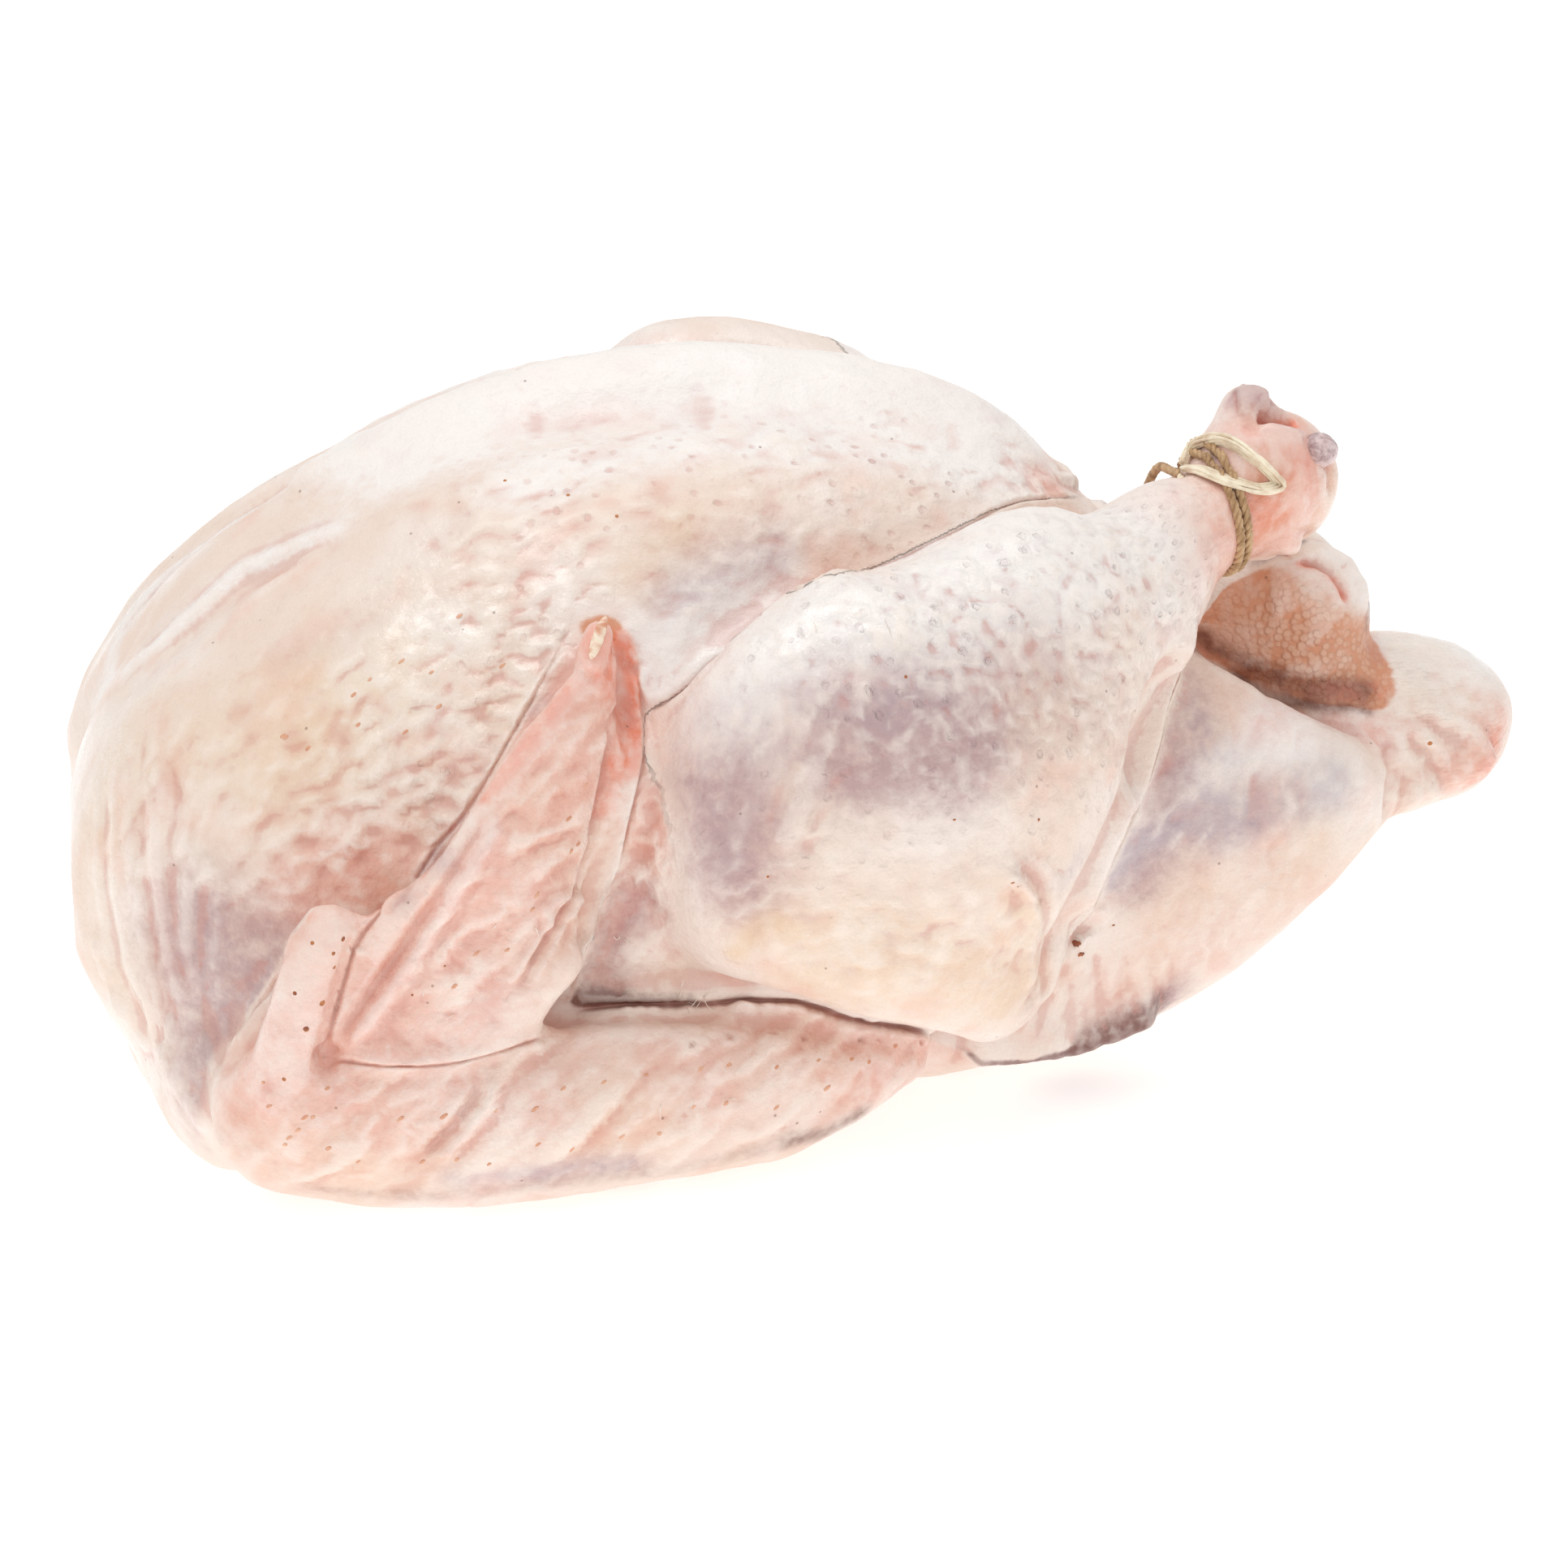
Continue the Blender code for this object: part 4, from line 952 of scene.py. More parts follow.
    def into_valley(self, line):
        """The line, moved to where the skin is most hollow."""
        reach = self.valley_reach
        low, high = line.min(axis=0) - reach, line.max(axis=0) + reach
        picked = ((self.places > low) & (self.places < high)).all(axis=1)
        picked &= self.concave > self.valley_least
        places, weights = self.places[picked], self.concave[picked] ** 2
        moved = []
        for point in line:
            gaps = ((places - point) ** 2).sum(axis=1)
            share = weights * np.exp(-gaps / (reach * 0.6) ** 2) * (gaps < reach**2)
            moved.append((share @ places + point * 0.5) / (share.sum() + 0.5))
        moved = np.array(moved)
        return np.array([moved[max(0, i - 2) : i + 3].mean(axis=0) for i in range(len(moved))])

    def close_up(self, side, broad, height, width, depth, marks):
        """Fills the valley between two limbs with flesh, and leaves a narrow cleft along it."""
        for line, normals in self.lines(side, marks):
            if depth < 0:
                line = self.into_valley(line)
            near = np.array([normals[max(0, i - 4) : i + 5].mean(axis=0) for i in range(len(line))])
            near /= np.linalg.norm(near, axis=1)[:, None]
            picked, distance, along, _ = self.near(line, near, self.cleft_reach * broad * MM)
            ways = near[np.round(along * (len(line) - 1)).astype(int)]
            ends = fade_at_ends(along, 0.12)
            if depth < 0:
                gap = self.places[picked] - point_along(line, along)
                gap -= ways * (gap * ways).sum(axis=1)[:, None]
                pull = self.pinch * ends * np.exp(-((distance / (broad * MM)) ** 2))
                self.shift[picked] -= gap * pull[:, None]
            facing = smooth_step(-0.5, 0.0, (self.normals[picked] * ways).sum(axis=1))
            cleft = np.exp(-((distance / (width * MM)) ** 2)) * ends
            lift = height * np.exp(-((distance / (broad * MM)) ** 2)) * ends + depth * cleft
            self.shift[picked] += ways * (lift * facing * MM)[:, None]
            # the cleft's depth is kept as hollow, which the material paints as shade
            self.hollow[picked] = np.maximum(self.hollow[picked], -depth * cleft)

    def wrinkle(self, side, radius, angle, spacing, stretch, depth, sharpness, marks):
        """Creases that run at an angle across a patch, and fade at its edge."""
        right, up, _ = (np.array(axis) for axis in view_axes())
        turn = math.radians(angle)
        ahead = right * math.cos(turn) + up * math.sin(turn)
        across = up * math.cos(turn) - right * math.sin(turn)
        for line, _ in self.lines(side, marks, fine=False):
            picked, distance, _, _ = self.near(line, line, 2.0 * radius * MM, jumps=True)
            share = np.exp(-((distance / (radius * MM)) ** 2)) * self.on_limb_of(line, picked)
            places = self.places[picked].copy()
            places[:, 1] = MIDDLE.y - np.abs(places[:, 1] - MIDDLE.y)
            step = spacing * MM
            for k, (place, weight) in enumerate(zip(places, share)):
                if weight < self.least_weight:
                    continue
                bend = noise.noise(Vector(place) * (0.35 / step))
                fork = noise.noise(Vector(place) * (1.1 / step))
                row = place @ across / step + bend * self.bend
                where = Vector((place @ ahead / (step * stretch), place[1] / (step * 4), row))
                lean = self.lean * (1 - sharpness) * noise.noise(where)
                wave = noise.noise(where + Vector((0, 0, 0.25 * fork + lean)))
                crease = max(0.0, 1 - abs(wave) / self.crease_width) ** 2
                height = (1 - sharpness) * 1.3 * wave + sharpness * (0.9 * abs(wave) - 0.9 * crease)
                self.rise[picked[k]] += depth * MM * weight * height
                # the wrinkle's valleys and crests are kept as crease, which the material paints as shade
                # and highlight
                shade = sharpness * crease - (1 - sharpness) * 2.2 * wave
                self.crease[picked[k]] += min(1.0, weight * (0.5 + 0.5 * depth)) * shade

    def row(self, side, bump, hole, spacing, marks, chance):
        """Single bumps at even steps along a line, each with a hole where it has one."""
        length = sum(math.dist(a, b) for a, b in zip(marks, marks[1:]))
        count = max(2, round(length / spacing))
        for i in range(count):
            share = (i + 0.5 + chance.uniform(-0.2, 0.2)) / count
            x, y = along_guide(marks, share)
            x += chance.uniform(-self.row_scatter, self.row_scatter)
            y += chance.uniform(-self.row_scatter, self.row_scatter)
            spot = self.hit((x, y))
            if spot is None:
                continue
            spots = [spot]
            if side == BOTH:
                spots.append(self.tree.find_nearest(mirrored(spot[0]))[:2])
            size = chance.uniform(0.75, 1.2)
            for place, _ in spots:
                gap = np.linalg.norm(self.places - np.array(place), axis=1)
                for width, height in (bump, hole or (1.0, 0.0)):
                    bell = np.exp(-((gap / (width * size * 0.6 * MM)) ** 2))
                    self.rise += height * size * MM * bell
                    # the hole's depth is kept as hollow, which the material paints as shade
                    if height < 0:
                        self.hollow = np.maximum(self.hollow, bell * 0.8)

    def paint(self, mask, side, radius, strength, marks):
        """A soft patch round a line, kept to the limb that the line lies on."""
        values = self.masks.setdefault(mask, np.zeros(len(self.places)))
        for line, normals in self.lines(side, marks, fine=False):
            picked, distance, _, _ = self.near(line, normals, self.patch_reach * radius * MM, jumps=True)
            share = strength * np.exp(-((distance / (radius * MM)) ** 2)) * self.on_limb_of(line, picked)
            values[picked] = 1 - (1 - values[picked]) * (1 - share)

    def on_limb_of(self, line, picked):
        """1 where a point is on the limb, or on the trunk, that the line lies on."""
        on_line = [self.nearest_point(place) for place in line]
        share = np.ones(len(picked))
        for limb in (self.wing, self.leg, self.hock):
            on_limb = np.mean([limb[i] for i in on_line]) > 0.5
            share = share * (limb[picked] if on_limb else 1 - limb[picked])
        return share

    def nearest_point(self, place):
        face = self.tree.find_nearest(Vector(place))[2]
        return self.mesh.polygons[face].vertices[0]

    def settle(self):
        """Moves the points by what was pressed."""
        self.places = self.places + self.normals * self.rise[:, None] + self.shift
        self.mesh.vertices.foreach_set("co", self.places.ravel())
        self.mesh.update()


def fade_at_ends(along, share):
    """A rise from 0 at both ends of a line to 1 over a share of its length."""
    return smooth_step(0, share, np.minimum(along, 1 - along) + 0.02)


def point_along(line, along):
    """The places at shares of the way along a line of points."""
    steps = along * (len(line) - 1)
    first = np.minimum(steps.astype(int), len(line) - 2)
    share = (steps - first)[:, None]
    return line[first] * (1 - share) + line[first + 1] * share


def along_guide(guide, share):
    """The place at a share of the way along a guide of marks."""
    lengths = [math.dist(a, b) for a, b in zip(guide, guide[1:])]
    left = share * sum(lengths)
    for (start, end), length in zip(zip(guide, guide[1:]), lengths):
        if left <= length:
            step = left / length
            return tuple(a + (b - a) * step for a, b in zip(start, end))
        left -= length
    return guide[-1]


def unevenness(places, scale, seed):
    """Smooth noise at the places, with a number of waves in a metre."""
    shift = Vector((seed * 7.3, seed * 3.1, seed * 5.7))
    return np.array([noise.noise(Vector(place) * scale + shift) for place in places])


def feather_rows(places, leg):
    """Coordinates in metres that run along and round each limb, for the rows of feather pits."""
    rows = np.zeros((len(places), 3))
    height = places[:, 2] - BREAST_AXIS_HEIGHT
    turn = np.arctan2(places[:, 1] - MIDDLE.y, height) * BREAST_RADIUS
    tilt = math.radians(BREAST_ROWS_TILT)
    side = np.sign(places[:, 1] - MIDDLE.y)
    turn = turn * side
    rows[:, 0] = places[:, 0] * math.cos(tilt) + turn * math.sin(tilt)
    rows[:, 1] = -places[:, 0] * math.sin(tilt) + turn * math.cos(tilt)
    for shin, picked in ((NEAR_SHIN, places[:, 1] < MIDDLE.y), (FAR_SHIN, places[:, 1] >= MIDDLE.y)):
        picked = picked & (leg > 0.5)
        start, end = (np.array(tuple(point)) for point in shin)
        way = (end - start) / np.linalg.norm(end - start)
        level = np.cross(way, (0, 0, 1.0))
        level /= np.linalg.norm(level)
        above = np.cross(level, way)
        reach = places[picked] - start
        length = reach @ way
        round_it = np.arctan2(reach @ level, reach @ above) * LEG_RADIUS
        rows[picked, 0] = length * 0.8 + round_it * 0.6
        rows[picked, 1] = -length * 0.6 + round_it * 0.8
    return rows


def cavity(mesh, places, normals):
    """How deep each point lies between its neighbours, from -1 on a crest to 1 in a crease."""
    even = np.stack([spread_over_edges(mesh, places[:, k], CAVITY_SPREAD) for k in range(3)], axis=1)
    return np.clip(((even - places) * normals).sum(axis=1) / CAVITY_DEPTH, -1, 1)


def store(mesh, name, values):
    """Keeps three values for each point of the mesh, which its material reads by their name."""
    attribute = mesh.attributes.new(name, "FLOAT_VECTOR", "POINT")
    attribute.data.foreach_set("vector", np.ascontiguousarray(values, dtype=np.float32).ravel())


# ---------------------------------------------------------------- shader maths


class Flow:
    """A socket's value that can be used in sums."""

    def __init__(self, finish, socket):
        self.finish, self.socket = finish, socket

    def __add__(self, other):
        return self.finish.sum("ADD", self, other)

    def __radd__(self, other):
        return self.finish.sum("ADD", other, self)

    def __sub__(self, other):
        return self.finish.sum("SUBTRACT", self, other)

    def __rsub__(self, other):
        return self.finish.sum("SUBTRACT", other, self)

    def __mul__(self, other):
        return self.finish.sum("MULTIPLY", self, other)

    def __rmul__(self, other):
        return self.finish.sum("MULTIPLY", other, self)

    def __truediv__(self, other):
        return self.finish.sum("DIVIDE", self, other)

    def __rtruediv__(self, other):
        return self.finish.sum("DIVIDE", other, self)

    def __abs__(self):
        return self.finish.sum("ABSOLUTE", self)


class Finish:
    """A material and the nodes that make it."""

    def __init__(self, name):
        self.data = bpy.data.materials.new(name)
        self.data.use_nodes = True
        self.tree = self.data.node_tree
        self.tree.nodes.clear()

    def node(self, kind, settings=None, sockets=None, out=0):
        """A node with its settings, then its sockets' values or links; gives the chosen output."""
        made = self.tree.nodes.new(kind)
        for name, value in (settings or {}).items():
            setattr(made, name, value)
        for name, value in (sockets or {}).items():
            self.feed(made.inputs[name], value)
        return Flow(self, made.outputs[out]) if made.outputs else None

    def feed(self, socket, value):
        if isinstance(value, Flow):
            self.tree.links.new(value.socket, socket)
        elif socket.type == "RGBA" and len(value) == 3:
            socket.default_value = (*value, 1.0)
        else:
            socket.default_value = value

    def sum(self, operation, *values):
        return self.node("ShaderNodeMath", {"operation": operation}, dict(enumerate(values)))

    def rise(self, value, low, high):
        """A smooth rise from 0 to 1 between two values."""
        sockets = {"Value": value, "From Min": low, "From Max": high}
        return self.node("ShaderNodeMapRange", {"interpolation_type": "SMOOTHSTEP"}, sockets)

    def blend(self, share, under, over):
        settings = {"data_type": "RGBA", "clamp_factor": True}
        return self.node("ShaderNodeMix", settings, {0: share, 6: under, 7: over}, 2)

    def mix_number(self, share, under, over):
        return self.node("ShaderNodeMix", {"data_type": "FLOAT"}, {0: share, 2: under, 3: over})

    def parts(self, vector):
        split = self.node("ShaderNodeSeparateXYZ", sockets={0: vector}).socket.node
        return [Flow(self, socket) for socket in split.outputs]

    def point(self, x, y, z):
        return self.node("ShaderNodeCombineXYZ", sockets={0: x, 1: y, 2: z})

    def stored(self, name):
        return self.node("ShaderNodeAttribute", {"attribute_name": name}, out="Vector")

    def place(self):
        return self.node("ShaderNodeTexCoord", out="Object")

    def grain(self, where, scale, detail=2.0, rough=0.5, warp=0.0):
        sockets = {"Vector": where, "Scale": scale, "Detail": detail, "Roughness": rough}
        return self.node("ShaderNodeTexNoise", sockets={**sockets, "Distortion": warp})

    def cells(self, where, scale, jitter=1.0, flat=False):
        settings = {"voronoi_dimensions": "2D" if flat else "3D"}
        sockets = {"Vector": where, "Scale": scale, "Randomness": jitter}
        return self.node("ShaderNodeTexVoronoi", settings, sockets)

    def bump(self, height, distance, strength):
        sockets = {"Height": height, "Distance": distance, "Strength": strength}
        return self.node("ShaderNodeBump", sockets=sockets, out="Normal")

    def wrinkles(self, where, angle, spacing, stretch):
        """Height of creases that run at an angle in the side view, some spacing apart."""
        x, y, z = self.parts(where)
        turn = angle * math.radians(1)
        c, s = self.sum("COSINE", turn), self.sum("SINE", turn)
        along = (x * c + z * s) / (spacing * stretch)
        across = (z * c - x * s) / spacing
        bend = self.grain(where, 22.0, 1.0)
        wave = self.grain(self.point(along, y / (spacing * 3.0), across + bend * 3.0), 1.0, 2.0, 0.55)
        return self.rise(abs(wave - 0.5), 0.0, 0.11)

    def finish(self, shader):
        self.node("ShaderNodeOutputMaterial", sockets={"Surface": shader})
        return self.data


# ---- waves in a metre of the skin's noises, from the broadest ----
BROAD, FLUSH, MOTTLE, ROUGH, FLECK, DUST = 26.0, 60.0, 95.0, 260.0, 380.0, 1300.0
SPECKS_PER_METRE = 95.0
PEBBLES_PER_METRE = 500.0

# ---- shades of the skin that no setting changes ----
DEEP_ROSE = tone(206, 120, 108)  # mottled blood in the rose patches
PIT_ROSE = tone(214, 150, 138)  # feather pits on the trunk
PIT_VIOLET = tone(166, 124, 134)  # feather pits on the leg
PAINTED_FOLD_SHADE = tone(206, 128, 112)  # painted shade in fine folds
PAINTED_VALLEY_SHADE_RED = tone(212, 134, 114)  # painted shade between wrinkles
PAINTED_VALLEY_SHADE_VIOLET = tone(166, 120, 128)  # painted shade between wrinkles over dark meat
PAINTED_VALLEY_SHADE_LEG = tone(188, 152, 160)  # painted shade between wrinkles on the leg
PAINTED_WRINKLE_HIGHLIGHT = tone(252, 238, 224)  # painted highlight on the crests of wrinkles
PEBBLE_CREAM = tone(236, 204, 180)  # pebbled skin of the far hock
PAINTED_GAP_SHADE = tone(108, 58, 46)  # painted shade in the gaps between limbs and under them
PAINTED_CREST_HIGHLIGHT = tone(255, 246, 238)  # painted highlight on crests
PAINTED_CREASE_SHADE = tone(206, 132, 116)  # painted shade in creases
DUST_BROWN = tone(150, 110, 100)  # finest speckle
SPECK_BROWN = tone(120, 84, 60)  # single specks


def skin_finish(settings):
    """Raw skin: cream over fat, violet over dark meat, rose where blood shows, pitted, creased and wet;
    painted shade darkens its creases, clefts and gaps, and painted highlight lightens its crests and glossy
    spots.
    """
    skin = Finish("raw_skin")
    where = skin.place()
    rose, violet, ochre = skin.parts(skin.stored("shades"))
    coral, milk, tan = skin.parts(skin.stored("edges"))
    goose, pores, pebbles = skin.parts(skin.stored("pits"))
    crinkle, wing, leg = skin.parts(skin.stored("limbs"))
    # depths that the material paints: shade in hollows and creases, highlight on crests
    hollow, crest, crease = skin.parts(skin.stored("depths"))
    # dark carries the painted shade of gaps and undersides; gloss is the skin's wetness and slate its
    # bluish tone
    dark, gloss, slate = skin.parts(skin.stored("shade"))
    rows = skin.stored("rows")

    broad = skin.grain(where, BROAD, 2.0, 0.55)
    mottle = skin.grain(where, MOTTLE, 3.0, 0.62, 0.4)
    fleck = skin.grain(where, FLECK, 3.0, 0.65)
    dust = skin.grain(where, DUST, 2.0, 0.6)
    ragged = (mottle - 0.5) * 0.9 + (fleck - 0.5) * 0.7

    def patch(mask, low=0.08, high=1.05):
        return skin.rise(mask + ragged * mask * 1.3, low, high)

    pale_cream = skin.blend(0.5, settings.cream, settings.milk)
    colour = skin.blend(skin.rise(broad, 0.35, 0.68), settings.cream, pale_cream)
    # pale skin, and on the glossy spots a painted highlight
    colour = skin.blend(patch(milk, 0.1, 0.8) * 0.9, colour, settings.milk)
    flush = skin.rise(skin.grain(where, FLUSH, 2.0), 0.52, 0.72) * (1 - milk * 0.8)
    colour = skin.blend(flush * 0.28, colour, settings.rose)
    colour = skin.blend(patch(ochre) * 0.42, colour, settings.ochre)
    colour = skin.blend(patch(rose) * 0.72, colour, settings.rose)
    colour = skin.blend(skin.rise(mottle, 0.45, 0.75) * rose * 0.28, colour, DEEP_ROSE)
    colour = skin.blend(patch(violet) * 0.8, colour, settings.violet)
    colour = skin.blend(patch(slate) * 0.5, colour, settings.slate)
    colour = skin.blend(patch(tan, 0.15, 0.55) * 0.9, colour, settings.tan)
    colour = skin.blend(patch(coral, 0.12, 0.9) * 0.85, colour, settings.coral)

    pit_cell = skin.cells(rows, 1.0 / settings.row_spacing, 0.6, flat=True)
    here = skin.rise(mottle, 0.42, 0.62)
    pit = (1 - skin.rise(pit_cell + (fleck - 0.5) * 0.5, 0.02, 0.26)) * here
    colour = skin.blend(pit * pores * (1 - leg) * 0.5, colour, PIT_ROSE)
    colour = skin.blend(pit * goose * leg * 0.22, colour, PIT_VIOLET)

    fold = skin.wrinkles(where, skin.mix_number(wing, 60.0, 34.0), 0.0026, 3.6)
    # painted shade: fine fold lines drawn darker, with no relief of their own
    colour = skin.blend((1 - fold) * crinkle * 0.08, colour, PAINTED_FOLD_SHADE)
    # painted shade in the valleys between wrinkles and painted highlight on their crests
    valley = skin.blend(violet, PAINTED_VALLEY_SHADE_RED, PAINTED_VALLEY_SHADE_VIOLET)
    valley = skin.blend(leg * 0.75, valley, PAINTED_VALLEY_SHADE_LEG)
    colour = skin.blend(skin.rise(crease, 0.0, 1.0) * (0.28 - leg * 0.06), colour, valley)
    colour = skin.blend(skin.rise(crease, 0.0, -1.0) * 0.34, colour, PAINTED_WRINKLE_HIGHLIGHT)

    spots = skin.rise(skin.cells(where, PEBBLES_PER_METRE, 0.8), 0.32, 0.74)
    colour = skin.blend((1 - spots) * pebbles * 0.4, colour, PEBBLE_CREAM)
    # painted shade in creases, clefts and holes, in the colour of the blood setting
    colour = skin.blend(skin.rise(hollow, 0.3, 3.0) * 0.5, colour, settings.blood)
    # painted shade: deep brown where the dark mask lies, in gaps and under limbs
    colour = skin.blend(patch(dark, 0.1, 0.8) * 0.85, colour, PAINTED_GAP_SHADE)
    # painted highlight on the skin's crests and painted shade in its creases
    colour = skin.blend(skin.rise(crest, 0.1, 1.0) * 0.28, colour, PAINTED_CREST_HIGHLIGHT)
    colour = skin.blend(skin.rise(crest, -0.15, -1.0) * 0.34, colour, PAINTED_CREASE_SHADE)
    colour = skin.blend((dust - 0.5) * 0.10 + 0.05, colour, DUST_BROWN)
    specks = skin.cells(where, SPECKS_PER_METRE, 1.0)
    colour = skin.blend((1 - skin.rise(specks, 0.02, 0.05)) * 0.6, colour, SPECK_BROWN)

    bumps = 1 - skin.rise(pit_cell, 0.1, 0.62)
    height = bumps * goose * 0.8 - pit * (goose * 0.6 + pores * 0.4)
    height = height + skin.grain(where, ROUGH, 4.0, 0.6)
    height = height + (1 - spots) * pebbles * 0.5
    normal = skin.bump(height, 0.9 * MM, 0.9)

    wet = skin.rise(broad + (mottle - 0.5) * 0.5 + gloss * 0.3, 0.45, 0.72)
    roughness = 0.47 - wet * 0.20 + (fleck - 0.5) * 0.16 + tan * 0.08
    shader = skin.node(
        "ShaderNodeBsdfPrincipled",
        sockets={
            "Base Color": colour,
            "Roughness": roughness,
            "Normal": normal,
            "Coat Weight": wet * 0.4 + 0.05,
            "Coat Roughness": 0.22,
            "Specular IOR Level": 0.45,
        },
    )
    return skin.finish(shader)


def twine_finish(name, shade, dark):
    """Fibres that run along the twine, paler on the crests."""
    twine = Finish(name)
    where = twine.place()
    fibre = twine.grain(where, 1400.0, 3.0, 0.6)
    stain = twine.grain(where, 260.0, 2.0)
    colour = twine.blend(twine.rise(stain, 0.35, 0.7), shade, dark)
    colour = twine.blend(twine.rise(fibre, 0.5, 0.8) * 0.5, colour, tone(240, 222, 190))
    shader = twine.node(
        "ShaderNodeBsdfPrincipled",
        sockets={
            "Base Color": colour,
            "Roughness": 0.75 + fibre * 0.15,
            "Normal": twine.bump(fibre, 0.2 * MM, 0.8),
            "Sheen Weight": 0.2,
        },
    )
    return twine.finish(shader)


def gristle_finish(name, pale, dark, gloss):
    """Joint ends and bone tips: milky and wet, with darker clouds."""
    gristle = Finish(name)
    where = gristle.place()
    cloud = gristle.grain(where, 300.0, 3.0, 0.6, 0.5)
    fine = gristle.grain(where, 1500.0, 2.0)
    colour = gristle.blend(gristle.rise(cloud, 0.38, 0.66), pale, dark)
    shader = gristle.node(
        "ShaderNodeBsdfPrincipled",
        sockets={
            "Base Color": colour,
            "Roughness": 0.5 - gloss * 0.3 + fine * 0.1,
            "Normal": gristle.bump(cloud + fine * 0.3, 0.4 * MM, 0.7),
            "Coat Weight": gloss * cloud,
            "Coat Roughness": 0.15,
            "Subsurface Weight": 0.15,
            "Subsurface Radius": (1.0, 0.5, 0.4),
            "Subsurface Scale": 0.002,
        },
    )
    return gristle.finish(shader)


def table_finish(shade, glow):
    table = Finish("pale_table")
    faint = table.grain(table.place(), 3.0, 2.0)
    colour = table.blend(faint * 0.02, shade, tone(244, 244, 246))
    shader = table.node(
        "ShaderNodeBsdfPrincipled",
        sockets={
            "Base Color": colour,
            "Roughness": 0.9,
            "Emission Color": (1, 1, 1),
            "Emission Strength": glow,
        },
    )
    return table.finish(shader)


# ---------------------------------------------------------------- tubes and blobs


SPLINE_STEPS = 24
STEM = (0, 0.25, 0.5, 0.75, 1)  # shares of a fibre's or a hair's length


def rounded_path(points, step):
    """A smooth path through the points (Catmull-Rom), evenly stepped."""
    points = [Vector(point) for point in points]
    last = len(points) - 1
    dense = []
    for i in range(last):
        a, b, c, d = (points[max(0, min(last, i + k))] for k in (-1, 0, 1, 2))
        for k in range(SPLINE_STEPS):
            t = k / SPLINE_STEPS
            square, cube = (2 * a - 5 * b + 4 * c - d) * t**2, (3 * b - a - 3 * c + d) * t**3
            dense.append(0.5 * (2 * b + (c - a) * t + square + cube))
    dense.append(points[last])
    return even_path(dense, step)


def even_path(dense, step):
    """The same path with points at even steps."""
    path, carried = [dense[0]], 0.0
    for start, end in zip(dense, dense[1:]):
        length = (end - start).length
        while length > 0 and carried + length >= step:
            share = (step - carried) / length
            start = start.lerp(end, share)
            path.append(start)
            length = (end - start).length
            carried = 0.0
        carried += length
    return path


def frames_along(path):
    """For each point of a path, two directions across it that turn as little as they can."""
    way = (path[1] - path[0]).normalized()
    side = way.orthogonal().normalized()
    found = []
    for i in range(len(path)):
        ahead = (path[min(i + 1, len(path) - 1)] - path[max(i - 1, 0)]).normalized()
        side = (side - ahead * side.dot(ahead)).normalized()
        found.append((side, ahead.cross(side)))
    return found


def add_tube(mesh, path, radii, around):
    """A tube round a path, with a radius for each of its points."""
    rings = []
    for point, size, (side, up) in zip(path, radii, frames_along(path)):
        ring = []
        for k in range(around):
            angle = 2 * math.pi * k / around
            ring.append(mesh.verts.new(point + (side * math.cos(angle) + up * math.sin(angle)) * size))
        rings.append(ring)
    for low, high in zip(rings, rings[1:]):
        for k in range(around):
            after = (k + 1) % around
            mesh.faces.new((low[k], low[after], high[after], high[k]))
    mesh.faces.new(rings[0][::-1])
    mesh.faces.new(rings[-1])


def add_twisted(mesh, path, ply, pitch, plies=3, around=8):
    """Plies wound round a path, as laid twine is."""
    frames = frames_along(path)
    step = (path[1] - path[0]).length
    for number in range(plies):
        phase = 2 * math.pi * number / plies
        wound = []
        for i, (point, (side, up)) in enumerate(zip(path, frames)):
            turn = phase + 2 * math.pi * i * step / pitch
            wobble = 1 + 0.12 * noise.noise(point * 900 + Vector((number, 0, 0)))
            wound.append(point + (side * math.cos(turn) + up * math.sin(turn)) * ply * 0.95 * wobble)
        sizes = [ply * (1 + 0.18 * noise.noise(point * 700)) for point in wound]
        add_tube(mesh, wound, sizes, around)


def any_way(chance):
    return Vector([chance.uniform(-1, 1) for _ in range(3)])


def add_fibres(mesh, path, count, length, chance, radius=0.05 * MM):
    """Loose fibres that stand off the twine."""
    for _ in range(count):
        i = chance.randrange(1, len(path) - 1)
        out = any_way(chance)
        along = (path[i + 1] - path[i - 1]).normalized()
        way = (out - along * out.dot(along) * 0.4).normalized()
        reach = length * chance.uniform(0.4, 1.0)
        curl = any_way(chance) * 0.5
        stem = [path[i] + way * reach * t + (curl - way) * reach * t * t * 0.45 for t in STEM]
        add_tube(mesh, stem, [radius * (1 - 0.16 * k) for k in range(len(STEM))], 4)


def add_blob(mesh, middle, axes, roughness, scale, seed, rounds=4):
    """A lumpy body with three half-axes given as vectors."""
    ball = bmesh.new()
    bmesh.ops.create_icosphere(ball, subdivisions=rounds, radius=1.0)
    shift = Vector((seed * 3.7, seed * 1.9, seed * 5.3))
    places = {}
    for vertex in ball.verts:
        coarse, fine = noise.noise(vertex.co * scale + shift), noise.noise(vertex.co * scale * 2.7)
        x, y, z = vertex.co * (1 + roughness * coarse + 0.4 * roughness * fine)
        places[vertex.index] = mesh.verts.new(middle + axes[0] * x + axes[1] * y + axes[2] * z)
    for face in ball.faces:
        mesh.faces.new([places[v.index] for v in face.verts])
    ball.free()


def half_axes(sizes, *ways):
    """The half-axes of a blob: sizes in millimetres along three directions."""
    return tuple(way * size * MM for way, size in zip(ways, sizes))


